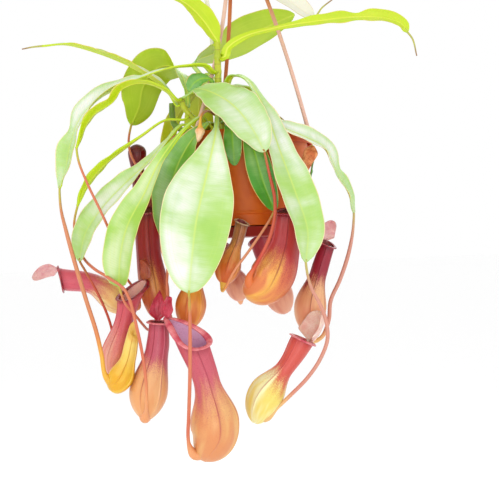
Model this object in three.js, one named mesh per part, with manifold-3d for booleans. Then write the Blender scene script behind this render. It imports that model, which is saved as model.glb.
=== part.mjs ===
import * as THREE from 'three';
import { mergeVertices } from 'three/addons/utils/BufferGeometryUtils.js';
import Module from 'manifold-3d';

// A pitcher plant in a 16 cm hanging plastic pot, in millimetres, +Z up.
// The origin is where the hook bears on its rail. The pot and the plant share a group whose
// height 0 is the top of the pot's rim, so their routes read as heights above or below the rim.

const RIM_DROP = 282;
const GAP = 0.35;
const ROUND_SIDES = 24;

// The pot, its saucer and the soil, heights measured from the top of the rim
const RIM_RADIUS = 81;
const RIM_DEPTH = 14;
const RIM_SKIRT = 1.6;
const WALL = 1.8;
const NECK_RADIUS = 76.5;
const SEAM_HEIGHT = -90;
const SEAM_RADIUS = 67;
const POT_FLOOR = -103;
const POT_BASE = -105;
const BASE_RADIUS = 65;
const CENTRE_HOLE = 7;
const DRAIN_HOLES = 6;
const DRAIN_RADIUS = 3.5;
const DRAIN_CIRCLE = 38;
const SAUCER_BASE = -117;
const SAUCER_RIM_RADIUS = 64.5;
const SAUCER_FOOT_RADIUS = 59;
const SAUCER_WALL = 1.6;
const SOIL_TOP = -8;

// The hanger: a hook with a hub, and three strands that snap into slots in the rim
const HOOK_WIRE = 2.75;
const HOOK_BEND = 15;
const HUB_TOP = -38;
const HUB_BASE = -46;
const HUB_RADIUS = 9;
const STRANDS = {
  strand_right: { angle: -9, lean: [5, -1] },
  strand_back: { angle: 111, lean: [4, 3] },
  strand_left: { angle: 231, lean: [9, 10] },
};
const STRAND_THICK = 4;
const SLOT_CIRCLE = 77.6;
const SLOT_WIDTH = 5.6;
const SLOT_DEPTH = 2.2;

// Blades and pitchers
const PETIOLE_HALF = 2.6;
const PETIOLE_THICK = 2.8;
const BLADE_THICK = 1.1;
const RIB_THICK = 0.9;
const TIP_HALF = 1.4;
const BARE_TIP = 0.8;
const SEGMENT_LENGTH = 22;
const BLADE_COLUMNS = [1, 0.5, 0, -0.5, -1];
const TENDRIL_SIDES = 5;
const TENDRIL_STEP = 24;
const HOLE_GAP = 0.8;
const PITCHER_WALL = 1.4;
const DEPTH = 0.4;
const PITCHER_ANGLES = [0, 20, 29, 38, 85, 132, 180, 228, 275, 322, 331, 340];
const WING_ANGLE = 29;

const COLOURS = {
  leaf: '#a6cc2e', leafPale: '#bfe08c', leafDark: '#5f9a28', stem: '#b9c431', stemOld: '#7f9a3a',
  red: '#a6323c', pink: '#cf7f78', orange: '#d98a45', young: '#dcc25e', dry: '#8a5a33',
  pot: '#a8481c', saucer: '#8c2a1c', soil: '#3b2a1d', hanger: '#c07a48',
};

const wasm = await Module();
wasm.setup();

const vec = (p) => new THREE.Vector3(...p);
const lerp = THREE.MathUtils.lerp;
const clamp = THREE.MathUtils.clamp;
const radians = THREE.MathUtils.degToRad;
const smooth = (t) => {
  const c = clamp(t, 0, 1);
  return c * c * (3 - 2 * c);
};
const curveThrough = (points) => new THREE.CatmullRomCurve3(points, false, 'centripetal');

// Solids: joined and cut as closed meshes

function toManifold(geometry) {
  const bare = geometry.clone();
  bare.deleteAttribute('normal');
  bare.deleteAttribute('uv');
  const merged = mergeVertices(bare, 1e-4);
  return new wasm.Manifold(new wasm.Mesh({
    numProp: 3,
    vertProperties: new Float32Array(merged.attributes.position.array),
    triVerts: new Uint32Array(merged.index.array),
  }));
}

function toGeometry(manifold) {
  const mesh = manifold.getMesh();
  const geometry = new THREE.BufferGeometry();
  geometry.setAttribute('position', new THREE.BufferAttribute(mesh.vertProperties, 3));
  geometry.setIndex(new THREE.BufferAttribute(mesh.triVerts, 1));
  return geometry;
}

// Joined bodies keep their largest piece, which fills any pinhole that the join seals
function join(...bodies) {
  const pieces = bodies.map(toManifold).reduce((all, one) => all.add(one)).decompose();
  return toGeometry(pieces.reduce((largest, one) => (one.volume() > largest.volume() ? one : largest)));
}

function cut(body, ...tools) {
  return toGeometry(tools.map(toManifold).reduce((left, tool) => left.subtract(tool), toManifold(body)));
}

// A closed body through rings of equal count, each ordered round its direction of travel.
// swap(j) picks the other diagonal for column j, and strips closes flat ends straight across.
function loft(rings, { swap = () => false, strips = false } = {}) {
  const count = rings[0].length;
  const positions = rings.flat().flatMap((p) => [p.x, p.y, p.z]);
  const index = [];
  for (let k = 0; k < rings.length - 1; k += 1) {
    for (let j = 0; j < count; j += 1) {
      const a = k * count + j;
      const b = k * count + ((j + 1) % count);
      const c = b + count;
      const d = a + count;
      if (swap(j)) index.push(a, b, d, b, c, d);
      else index.push(a, b, c, a, c, d);
    }
  }
  const last = (rings.length - 1) * count;
  if (strips) {
    for (let i = 0; i < count / 2 - 1; i += 1) {
      const [p, q, r, s] = [i, i + 1, count - 2 - i, count - 1 - i];
      index.push(p, s, r, p, r, q);
      index.push(last + p, last + q, last + r, last + p, last + r, last + s);
    }
  } else {
    for (const [start, turned] of [[0, true], [last, false]]) {
      const ring = start === 0 ? rings[0] : rings[rings.length - 1];
      const middle = ring.reduce((sum, p) => sum.add(p), new THREE.Vector3()).divideScalar(count);
      const centre = positions.length / 3;
      positions.push(middle.x, middle.y, middle.z);
      for (let j = 0; j < count; j += 1) {
        const next = (j + 1) % count;
        if (turned) index.push(centre, start + next, start + j);
        else index.push(centre, start + j, start + next);
      }
    }
  }
  const geometry = new THREE.BufferGeometry();
  geometry.setAttribute('position', new THREE.Float32BufferAttribute(positions, 3));
  geometry.setIndex(index);
  return geometry;
}

// Side directions carried along a route without twisting
function carriedSides(tangents, firstSide) {
  const sides = [];
  let side = firstSide.clone();
  for (const tangent of tangents) {
    side = side.clone().addScaledVector(tangent, -side.dot(tangent)).normalize();
    sides.push(side);
  }
  return sides;
}

// A round stem or tendril with a radius for each share of its length
function sweep(points, radiusAt, sides, stepLength, endsAcross = {}) {
  const curve = curveThrough(points);
  const spans = points.length - 1;
  const shares = [0];
  for (let i = 0; i < spans; i += 1) {
    const cuts = Math.max(1, Math.round(points[i].distanceTo(points[i + 1]) / stepLength));
    for (let j = 1; j <= cuts; j += 1) shares.push((i + j / cuts) / spans);
  }
  const tangents = shares.map((s) => curve.getTangent(s));
  if (endsAcross.start) tangents[0] = endsAcross.start;
  if (endsAcross.end) tangents[tangents.length - 1] = endsAcross.end;
  const helper = Math.abs(tangents[0].x) < 0.8 ? vec([1, 0, 0]) : vec([0, 1, 0]);
  const across = carriedSides(tangents, helper);
  const rings = shares.map((s, i) => {
    const centre = curve.getPoint(s);
    const up = tangents[i].clone().cross(across[i]);
    const radius = radiusAt(s);
    return Array.from({ length: sides }, (_, j) => {
      const angle = (2 * Math.PI * j) / sides;
      return centre.clone().addScaledVector(across[i], radius * Math.cos(angle))
        .addScaledVector(up, radius * Math.sin(angle));
    });
  });
  return loft(rings);
}

// The pot, saucer and soil

const lathe = (profile) => {
  const turned = new THREE.LatheGeometry(profile.map(([r, z]) => new THREE.Vector2(r, z)), ROUND_SIDES);
  return turned.rotateX(Math.PI / 2);
};

function post(x, y, low, high, radius, sides) {
  const cylinder = new THREE.CylinderGeometry(radius, radius, high - low, sides);
  return cylinder.rotateX(Math.PI / 2).translate(x, y, (low + high) / 2);
}

const wallRadius = (z) => lerp(NECK_RADIUS, SEAM_RADIUS, (z + 2) / (SEAM_HEIGHT + 2));

function slotCutter(angle) {
  const box = new THREE.BoxGeometry(SLOT_DEPTH, SLOT_WIDTH, 6);
  return box.translate(SLOT_CIRCLE, 0, 0).rotateZ(radians(angle));
}

function potBody() {
  const inner = NECK_RADIUS - WALL;
  const body = lathe([
    [CENTRE_HOLE, POT_BASE], [BASE_RADIUS, POT_BASE], [BASE_RADIUS + 1, SEAM_HEIGHT - 3],
    [SEAM_RADIUS + 1, SEAM_HEIGHT - 2], [SEAM_RADIUS + 1, SEAM_HEIGHT], [wallRadius(-84), -84],
    [NECK_RADIUS, -2], [RIM_RADIUS - RIM_SKIRT, -2], [RIM_RADIUS - RIM_SKIRT, -RIM_DEPTH],
    [RIM_RADIUS, -RIM_DEPTH], [RIM_RADIUS, 0], [inner, 0],
    [SEAM_RADIUS - WALL, SEAM_HEIGHT], [BASE_RADIUS - WALL, POT_FLOOR], [CENTRE_HOLE, POT_FLOOR],
    [CENTRE_HOLE, POT_BASE],
  ]);
  const drains = Array.from({ length: DRAIN_HOLES }, (_, i) => {
    const angle = radians(30 + (360 / DRAIN_HOLES) * i);
    const [x, y] = [DRAIN_CIRCLE * Math.cos(angle), DRAIN_CIRCLE * Math.sin(angle)];
    return post(x, y, POT_BASE - 2, POT_FLOOR + 2, DRAIN_RADIUS, 8);
  });
  return cut(body, ...drains, ...Object.values(STRANDS).map(({ angle }) => slotCutter(angle)));
}

// The saucer snaps into the pot's centre hole with a barbed peg on its boss
function saucerBody() {
  const floor = SAUCER_BASE + SAUCER_WALL;
  return lathe([
    [0, SAUCER_BASE], [SAUCER_FOOT_RADIUS, SAUCER_BASE], [SAUCER_RIM_RADIUS, POT_BASE - 1.2],
    [SAUCER_RIM_RADIUS - SAUCER_WALL, POT_BASE - 1.2], [SAUCER_FOOT_RADIUS - 1, floor], [10, floor],
    [10, POT_BASE - GAP], [CENTRE_HOLE - 0.5, POT_BASE - GAP], [CENTRE_HOLE - 0.5, POT_FLOOR + GAP],
    [CENTRE_HOLE + 0.8, POT_FLOOR + GAP], [CENTRE_HOLE - 1.5, POT_FLOOR + 2.4], [0, POT_FLOOR + 2.4],
  ]);
}

function soilBody(stems) {
  const base = POT_FLOOR + GAP;
  const innerAt = (z) => wallRadius(z) - WALL - 0.6;
  const body = lathe([
    [0, base + 2.6], [9.5, base + 2.6], [9.5, base], [BASE_RADIUS - WALL - 1, base],
    [innerAt(SEAM_HEIGHT) - 0.6, SEAM_HEIGHT], [innerAt(SOIL_TOP - 3), SOIL_TOP - 3],
    [58, SOIL_TOP + 1], [30, SOIL_TOP + 3], [0, SOIL_TOP + 3.5],
  ]);
  const holes = stems.map((stem) => {
    const radius = (stem.radius + HOLE_GAP) / Math.cos(Math.PI / 8);
    return post(stem.points[0][0], stem.points[0][1], stem.points[0][2] - GAP, SOIL_TOP + 20, radius, 8);
  });
  return cut(body, ...holes);
}

// The hanger, with its origin on the rail

function hookBody() {
  const middle = -(HOOK_BEND - HOOK_WIRE);
  const arc = [];
  for (let angle = 205; angle >= -50; angle -= 30) {
    const turn = radians(angle);
    arc.push(vec([HOOK_BEND * Math.cos(turn), 0, middle + HOOK_BEND * Math.sin(turn)]));
  }
  arc.push(vec([4, 0, -30]), vec([0, 0, -35]), vec([0, 0, HUB_TOP - 2]));
  const wire = sweep(arc, () => HOOK_WIRE, 8, 9);
  const hub = new THREE.CylinderGeometry(HUB_RADIUS, HUB_RADIUS, HUB_TOP - HUB_BASE, 18);
  hub.rotateX(Math.PI / 2).translate(0, 0, (HUB_TOP + HUB_BASE) / 2);
  return join(wire, hub);
}

// A strand leans aside halfway, and at the rim its barbed neck passes through a slot
function strandBody({ angle, lean }) {
  const top = vec([HUB_RADIUS - 3, 0, HUB_BASE - GAP]);
  const foot = vec([SLOT_CIRCLE, 0, -RIM_DROP + 2]);
  const aside = vec([...lean, 0]).applyAxisAngle(vec([0, 0, 1]), -radians(angle));
  const route = [0, 0.2, 0.4, 0.6, 0.8, 1].map((share) => (
    top.clone().lerp(foot, share).addScaledVector(aside, Math.sin(Math.PI * share))
  ));
  const half = STRAND_THICK / 2;
  const band = sweep(route, () => half * 1.12, 8, 42, { start: vec([0, 0, -1]), end: vec([0, 0, -1]) });
  const neck = new THREE.BoxGeometry(SLOT_DEPTH - 0.7, SLOT_WIDTH - 0.7, 8);
  neck.translate(SLOT_CIRCLE, 0, -RIM_DROP + 0.4);
  const barb = new THREE.BoxGeometry(SLOT_DEPTH - 0.7, SLOT_WIDTH + 2.4, 2.4);
  barb.translate(SLOT_CIRCLE, 0, -RIM_DROP - 2 - GAP - 1.2);
  return join(band, neck, barb).rotateZ(radians(angle));
}

// Stems, with the height at which each leaf leaves them

const STEMS = {
  main_stem: {
    radius: 4, colour: COLOURS.stem,
    points: [[-20, -38, -36], [-20, -38, -3], [-21, -38, 20], [-23, -40, 52], [-23, -41, 86],
      [-24, -42, 112]],
  },
  side_shoot: {
    radius: 3.2, colour: COLOURS.stem,
    points: [[-35, -42, -34], [-35, -42, -16], [-35, -42, -3], [-41, -47, 6], [-52, -49, 16], [-61, -51, 27],
      [-65, -50, 39]],
  },
  cut_stem: {
    radius: 3.4, colour: COLOURS.stemOld,
    points: [[-53, -26, -34], [-53, -26, -16], [-53, -26, -3], [-59, -25, 3], [-68, -24, 7],
      [-75, -22, 13], [-77, -22, 24], [-77, -22, 37]],
  },
};

for (const stem of Object.values(STEMS)) stem.curve = curveThrough(stem.points.map(vec));

// Where a leaf that heads for a point meets the stem at a height, and the way square to the stem
function seatOnStem(stem, height, toward) {
  let share = 0;
  for (let i = 0; i <= 200; i += 1) {
    const [here, best] = [stem.curve.getPointAt(i / 200), stem.curve.getPointAt(share)];
    if (Math.abs(here.z - height) < Math.abs(best.z - height)) share = i / 200;
  }
  const axis = stem.curve.getPointAt(share);
  const tangent = stem.curve.getTangentAt(share);
  const out = vec(toward).sub(axis);
  out.addScaledVector(tangent, -out.dot(tangent)).normalize();
  return { out, base: axis.addScaledVector(out, stem.radius * 1.06 + GAP) };
}

function stemBody(stem) {
  const length = stem.curve.getLength();
  const swell = (s) => 1 - 0.06 * Math.cos((s * length * 2 * Math.PI) / 32);
  const inSoil = (s) => (s * length < 26 ? 1 : swell(s));
  return sweep(stem.points.map(vec), (s) => stem.radius * inSoil(s), 8, 11, { start: vec([0, 0, 1]) });
}

// A leaf: a thin petiole that widens into an arching blade with a raised rib beneath.
// half is its greatest half width, widest where along the leaf that lies, face the way its
// upper side looks at the base and at the tip, fold how far the halves rise from the rib,
// wave how far the margins roll, taper how slowly the blade widens, blunt how sharply it ends.
// A leaf whose pitcher never formed ends in a bare tendril of its own.

function leafShape(leaf) {
  const { half, widest = 0.55, petiole = 0.12, taper = 0.8, blunt = taper } = leaf;
  const power = Math.log(0.5) / Math.log((widest - petiole) / (1 - petiole));
  return (s) => {
    if (s <= petiole) return PETIOLE_HALF;
    const t = (s - petiole) / (1 - petiole);
    const share = t ** power;
    const blade = half * Math.max(0, Math.sin(Math.PI * share)) ** (share < 0.5 ? taper : blunt);
    return Math.max(lerp(PETIOLE_HALF, TIP_HALF, t), blade);
  };
}

function leafBody(leaf) {
  const { out, base } = seatOnStem(STEMS[leaf.stem], leaf.at, leaf.route[0]);
  const start = base.clone().addScaledVector(out, 4);
  const curve = curveThrough([base, start, ...leaf.route.map(vec)]);
  const steps = clamp(Math.round(curve.getLength() / SEGMENT_LENGTH), 6, 10);
  const [faceBase, faceTip] = leaf.face.map((p) => vec(p).normalize());
  const { fold = 0.25, wave = 0 } = leaf;
  const widthAt = leafShape(leaf);
  const rings = [];
  for (let i = 0; i <= steps; i += 1) {
    const s = i / steps;
    const tangent = i === 0 ? out : curve.getTangentAt(s);
    const face = faceBase.clone().lerp(faceTip, smooth(s));
    const normal = face.addScaledVector(tangent, -face.dot(tangent)).normalize();
    const side = normal.clone().cross(tangent);
    const width = widthAt(s);
    const open = smooth((width - PETIOLE_HALF) / 6);
    const thick = lerp(PETIOLE_THICK, BLADE_THICK, open);
    const rib = RIB_THICK * open;
    const centre = curve.getPointAt(s);
    const lift = (u) => width * Math.abs(u) * fold * open
      + wave * u * u * open * Math.sin(2 * Math.PI * (2 * s + (u > 0 ? 0.2 : 0.55)));
    const at = (u, n) => centre.clone().addScaledVector(side, u * width)
      .addScaledVector(normal, lift(u) + n);
    const top = BLADE_COLUMNS.map((u) => at(u, thick / 2));
    const bottom = [...BLADE_COLUMNS].reverse().map((u) => at(u, -thick / 2 - rib * (1 - Math.abs(u))));
    rings.push([...top, ...bottom]);
  }
  const columns = BLADE_COLUMNS.length;
  leaf.tip = curve.getPointAt(1);
  leaf.tipDirection = curve.getTangentAt(1);
  const blade = loft(rings, { strips: true, swap: (j) => j >= columns });
  if (!leaf.bareTendril) return blade;
  const root = leaf.tip.clone().addScaledVector(leaf.tipDirection, -6);
  const route = [root, leaf.tip, ...leaf.bareTendril.map(vec)];
  return join(blade, sweep(route, (s) => lerp(TIP_HALF, BARE_TIP, s), TENDRIL_SIDES, TENDRIL_STEP));
}

// A pitcher: a bulb that narrows to a waist and widens to an oblique mouth with a rolled lip,
// hollow down to its fluid, with two ribs down the front, a lid on the neck behind the mouth
// and the tendril that carries it. An unopened or withered one is closed. rise lifts the back of
// the mouth, and neck draws it out to a point.

function pitcherRadius(pitcher) {
  const { bulb, waist, mouth, bulbAt = 0.3, waistAt = 0.68 } = pitcher;
  return (s) => {
    if (s < bulbAt) return bulb * Math.sqrt(1 - 0.95 * ((bulbAt - s) / bulbAt) ** 2);
    if (s < waistAt) return lerp(bulb, waist, smooth((s - bulbAt) / (waistAt - bulbAt)));
    return lerp(waist, mouth, smooth((s - waistAt) / (1 - waistAt)));
  };
}

function pitcherBody(pitcher) {
  const curve = curveThrough(pitcher.axis.map(vec));
  const radiusAt = pitcherRadius(pitcher);
  const { closed = false, rise = pitcher.mouth * 0.9, wing = 1.6, neck = 0 } = pitcher;
  const hint = vec(pitcher.front);
  const frame = (s) => {
    const tangent = curve.getTangentAt(s);
    const front = hint.clone().addScaledVector(tangent, -hint.dot(tangent)).normalize();
    return { centre: curve.getPointAt(s), tangent, front, left: tangent.clone().cross(front) };
  };
  const ring = (s, radius, shift, ribs) => {
    const { centre, tangent, front, left } = frame(s);
    return PITCHER_ANGLES.map((degrees) => {
      const angle = radians(degrees);
      const isWing = Math.abs(Math.abs(degrees > 180 ? degrees - 360 : degrees) - WING_ANGLE) < 1;
      const back = (1 - Math.cos(angle)) / 2;
      const reach = radius + (isWing ? ribs : 0) + neck * back ** 4 * smooth((s - 0.7) / 0.3);
      const raised = shift + rise * back * smooth((s - 0.55) / 0.45);
      return centre.clone().addScaledVector(front, reach * Math.cos(angle))
        .addScaledVector(left, reach * Math.sin(angle)).addScaledVector(tangent, raised);
    });
  };
  const outer = closed ? [0, 0.08, 0.2, 0.36, 0.58, 0.8, 1] : [0, 0.08, 0.22, DEPTH, 0.56, 0.78, 1];
  const rings = outer.map((s) => ring(s, radiusAt(s), 0, wing * smooth(s / 0.3) * (1 - 0.6 * s)));
  if (closed) {
    rings.push(ring(1, pitcher.mouth * 0.75, pitcher.mouth * 0.4, 0));
    rings.push(ring(1, pitcher.mouth * 0.3, pitcher.mouth * 0.62, 0));
  } else {
    const lip = clamp(pitcher.mouth * 0.24, 1.6, 3.6);
    rings.push(ring(1, pitcher.mouth + lip, lip * 0.2, 0));
    rings.push(ring(1, pitcher.mouth + lip * 0.5, lip * 0.8, 0));
    rings.push(ring(1, pitcher.mouth - lip * 0.6, lip * 0.2, 0));
    for (const s of [0.94, 0.78, 0.56, DEPTH]) rings.push(ring(s, radiusAt(s) - PITCHER_WALL, 0, 0));
  }
  const bodies = [loft(rings)];
  if (pitcher.lid) bodies.push(lidBody(pitcher, frame(1), rise));
  const entry = curve.getPointAt(0.1);
  const tip = pitcher.tendril.from;
  const first = tip.point.clone().addScaledVector(tip.direction, GAP);
  const route = [first, ...pitcher.tendril.route.map(vec), entry];
  const thin = pitcher.tendril.radius ?? 1.4;
  bodies.push(sweep(route, (s) => lerp(TIP_HALF, thin, smooth(s * 2)), TENDRIL_SIDES, TENDRIL_STEP,
    { start: tip.direction }));
  return join(...bodies);
}

// The lid hangs over the mouth from the neck: open is its angle above the mouth's plane
function lidBody(pitcher, { centre, tangent, front, left }, rise) {
  const { length, half, open } = pitcher.lid;
  const turn = radians(open);
  const along = front.clone().multiplyScalar(Math.cos(turn)).addScaledVector(tangent, Math.sin(turn));
  const upward = tangent.clone().multiplyScalar(Math.cos(turn)).addScaledVector(front, -Math.sin(turn));
  const root = centre.clone().addScaledVector(front, -pitcher.mouth - 0.6)
    .addScaledVector(tangent, rise - 1.5);
  const shares = [0, 0.15, 0.4, 0.65, 0.88, 1];
  const rings = shares.map((s) => {
    const taper = Math.sqrt(Math.max(0.12, 1 - (Math.max(0, s - 0.4) / 0.62) ** 2));
    const width = lerp(2, half, smooth(s * 3)) * taper;
    const dome = length * 0.14 * Math.sin(Math.PI * s);
    const thick = lerp(1, 0.6, s);
    const at = (u, n) => root.clone().addScaledVector(along, length * s).addScaledVector(left, u * width)
      .addScaledVector(upward, dome - u * u * half * 0.18 + n);
    return [at(1, thick), at(0, thick), at(-1, thick), at(-1, -thick), at(0, -thick), at(1, -thick)];
  });
  return loft(rings, { strips: true, swap: (j) => j >= 3 });
}

const LEAVES = {
  leaf_top_left: { stem: 'main_stem', at: 95, half: 16, petiole: 0.05, blunt: 0.6,
    face: [[0.3, 0.4, 0.8], [0.2, 0.5, 0.8]],
    route: [[-36, -42, 112], [-54, -45, 132], [-78, -50, 150], [-108, -55, 163], [-135, -58, 166]],
    fold: 0.35, colour: 'leaf' },
  leaf_top_arch: { stem: 'main_stem', at: 108, half: 15, petiole: 0.3, widest: 0.7, blunt: 0.5,
    face: [[-0.6, -0.2, 0.6], [0.3, -0.8, 0.5]],
    route: [[-30, -35, 132], [-33, -32, 160], [-24, -29, 184], [1, -28, 192], [26, -27, 175],
      [50, -26, 154], [72, -24, 141], [87, -22, 131]], fold: 0.3, colour: 'leafPale',
    bareTendril: [[97, -20, 139], [109, -18, 148]] },
  leaf_back_right: { stem: 'main_stem', at: 38, half: 26, petiole: 0.3, widest: 0.68, blunt: 0.6,
    face: [[-0.6, -0.2, 0.7], [-0.15, 0.8, 0.6]],
    route: [[-34, -30, 53], [-44, -14, 70], [-52, 8, 84], [-48, 34, 95], [-30, 60, 106],
      [-6, 80, 120], [34, 92, 137], [73, 97, 151]], fold: 0.2, colour: 'leaf' },
  leaf_long_right: { stem: 'main_stem', at: 80, half: 13, petiole: 0.1, widest: 0.55, blunt: 0.6,
    face: [[0, -0.1, 1], [0.2, 0.9, 0.3]],
    route: [[-11, -42, 90], [8, -42, 104], [42, -42, 113], [92, -45, 118], [142, -48, 121],
      [172, -48, 123], [186, -46, 118], [190, -45, 108]], fold: 0.3, wave: 1.5, colour: 'leaf',
    bareTendril: [[195, -42, 95], [199, -40, 77]] },
  leaf_left_wave: { stem: 'main_stem', at: 66, half: 17, petiole: 0.34, widest: 0.62, blunt: 0.7,
    face: [[0, 0, 1], [-0.8, -0.7, 0.1]],
    route: [[-37, -50, 73], [-59, -54, 73], [-82, -57, 70], [-106, -59, 62], [-126, -58, 53],
      [-146, -54, 45], [-161, -50, 33], [-173, -47, 20], [-184, -45, 4], [-191, -46, -13],
      [-195, -48, -33], [-203, -50, -56]], fold: 0.35, wave: 2.5, colour: 'leafPale' },
  leaf_left_near: { stem: 'side_shoot', at: 36, half: 10, petiole: 0.12, widest: 0.6,
    face: [[0, 0, 1], [-0.9, 0.3, 0.3]],
    route: [[-80, -62, 46], [-97, -72, 53], [-112, -77, 53], [-127, -79, 47], [-138, -79, 33],
      [-157, -78, 22], [-168, -77, 9], [-174, -76, -4], [-179, -74, -15]],
    fold: 0.3, colour: 'leaf' },
  leaf_broad_left: { stem: 'side_shoot', at: 27, half: 27, petiole: 0.22, widest: 0.68, blunt: 0.6,
    face: [[0, -0.2, 1], [-0.5, 0.85, 0.2]],
    route: [[-62, -20, 62], [-74, 0, 82], [-95, 12, 83], [-112, 16, 63], [-118, 14, 38],
      [-127, 10, 18]], fold: 0.15, colour: 'leaf' },
  leaf_far_left: { stem: 'side_shoot', at: 32, half: 12, petiole: 0.1, widest: 0.5,
    face: [[0, 0, 1], [0.1, -0.2, 1]],
    route: [[-82, -40, 52], [-102, -34, 67], [-127, -32, 82], [-160, -34, 96], [-193, -38, 105],
      [-218, -40, 104]], fold: 0.4, colour: 'leafPale', bareTendril: [[-229, -41, 103], [-240, -42, 101]] },
  leaf_low_left: { stem: 'side_shoot', at: 20, half: 7, petiole: 0.16, widest: 0.75,
    face: [[0, 0, 1], [-0.6, 0.5, 0.6]],
    route: [[-83, -56, 14], [-108, -62, -2], [-141, -67, -25], [-161, -70, -44], [-175, -70, -63],
      [-181, -68, -77]], fold: 0.3, colour: 'leaf' },
  leaf_left_front: { stem: 'side_shoot', at: 7, half: 17, petiole: 0.14, widest: 0.55, blunt: 0.55,
    face: [[-0.2, -0.4, 1], [-0.6, -0.7, 0.3]],
    route: [[-63, -54, 9], [-82, -64, -10], [-103, -71, -33], [-128, -72, -55], [-152, -70, -78],
      [-170, -66, -105], [-181, -64, -136]], fold: 0.25, colour: 'leafPale' },
  leaf_left_long: { stem: 'side_shoot', at: 4, half: 19, petiole: 0.16, widest: 0.74, taper: 0.55,
    blunt: 0.55,
    face: [[-0.2, -0.5, 1], [-0.45, -0.8, 0.3]],
    route: [[-42, -68, 14], [-54, -85, 6], [-70, -97, -12], [-88, -101, -36], [-105, -102, -69],
      [-124, -101, -102], [-133, -98, -134], [-136, -94, -166]], fold: 0.3, colour: 'leaf' },
  leaf_shaded: { stem: 'main_stem', at: -1, half: 21, petiole: 0.2, widest: 0.62, blunt: 0.6,
    face: [[0, -0.5, 1], [-0.3, -0.9, 0.1]],
    route: [[-32, -66, 8], [-39, -79, 4], [-54, -78, -16], [-67, -74, -45], [-75, -72, -85],
      [-79, -74, -123]], fold: 0.2, colour: 'leafDark' },
  leaf_centre: { stem: 'main_stem', at: 28, half: 38, petiole: 0.2, widest: 0.62, taper: 1.2, blunt: 0.62,
    face: [[0, -0.4, 1], [0, -1, 0.15]],
    route: [[-25, -70, 15], [-27, -96, -7], [-33, -104, -33], [-42, -108, -67], [-50, -111, -98],
      [-56, -112, -135], [-61, -112, -175]], fold: 0.22, colour: 'leafPale' },
  leaf_upper_centre: { stem: 'side_shoot', at: 38, half: 25, petiole: 0.12, widest: 0.55, blunt: 0.5,
    face: [[0.1, -0.5, 0.9], [0.3, -0.9, 0.35]],
    route: [[-46, -62, 46], [-23, -80, 36], [-3, -98, 18], [14, -110, -8], [24, -114, -30]],
    fold: 0.15, colour: 'leafPale' },
  leaf_right_drop: { stem: 'main_stem', at: 46, half: 22, petiole: 0.14, widest: 0.76, blunt: 0.6,
    face: [[0, 0, 1], [0.45, -0.9, 0.2]],
    route: [[-8, -52, 60], [8, -66, 54], [26, -82, 20], [42, -96, -32], [56, -106, -76],
      [66, -110, -113], [63, -110, -147]], fold: 0.3, colour: 'leafPale' },
  leaf_right_side: { stem: 'main_stem', at: 31, half: 12, petiole: 0.14, widest: 0.55,
    face: [[0.1, -0.4, 0.9], [0.8, -0.5, 0.3]],
    route: [[0, -30, 38], [28, -37, 31], [58, -46, 18], [84, -49, 0], [104, -49, -36],
      [116, -46, -75], [122, -44, -95]], fold: 0.35, colour: 'leaf' },
  leaf_gap_right: { stem: 'main_stem', at: 19, half: 14, petiole: 0.25, widest: 0.7, blunt: 0.5,
    face: [[0, -0.4, 1], [0, -1, 0.1]],
    route: [[-4, -68, 13], [5, -84, 4], [13, -92, -25], [22, -93, -60], [33, -92, -91]],
    fold: 0.2, colour: 'leafDark' },
  leaf_gap_left: { stem: 'main_stem', at: 11, half: 10, petiole: 0.3, widest: 0.7, blunt: 0.5,
    face: [[0, -0.4, 1], [0, -1, 0.1]],
    route: [[-15, -66, 9], [-10, -84, 0], [-9, -89, -20], [-8, -89, -41]], fold: 0.15,
    colour: 'leafDark' },
  leaf_small_round: { stem: 'main_stem', at: 53, half: 10, petiole: 0.25, widest: 0.65,
    face: [[-0.1, -0.6, 0.8], [-0.1, -0.95, 0.2]],
    route: [[-32, -48, 58], [-41, -51, 59], [-50, -53, 54], [-56, -54, 45]], fold: 0.15,
    colour: 'leafDark' },
  leaf_rear_left: { stem: 'main_stem', at: 55, half: 19, petiole: 0.16, widest: 0.6,
    face: [[0, 0.3, 1], [-0.1, 1, 0.1]],
    route: [[-35, 0, 72], [-45, 36, 66], [-50, 72, 40], [-52, 92, -7], [-49, 96, -68],
      [-45, 94, -115]], fold: 0.25, colour: 'leaf' },
  leaf_rear_centre: { stem: 'main_stem', at: 43, half: 21, petiole: 0.16, widest: 0.6,
    face: [[0.1, 0.3, 1], [0.1, 1, 0.1]],
    route: [[-4, 0, 58], [10, 40, 52], [19, 76, 30], [24, 95, -22], [27, 98, -77], [28, 95, -121]],
    fold: 0.25, colour: 'leafPale' },
  leaf_rear_far_left: { stem: 'main_stem', at: 33, half: 18, petiole: 0.2, widest: 0.6,
    face: [[-0.3, 0.3, 1], [-0.6, 0.7, 0.1]],
    route: [[-42, -4, 52], [-62, 36, 46], [-80, 62, 26], [-90, 76, -8], [-93, 80, -49]],
    fold: 0.3, colour: 'leaf' },
  leaf_rear_right: { stem: 'main_stem', at: 26, half: 17, petiole: 0.16, widest: 0.55,
    face: [[0.3, 0.2, 1], [0.9, 0.3, 0.1]],
    route: [[0, 0, 40], [26, 30, 38], [56, 52, 22], [76, 57, 0], [82, 46, -28], [79, 26, -50]],
    fold: 0.25, colour: 'leafDark' },
};

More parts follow.
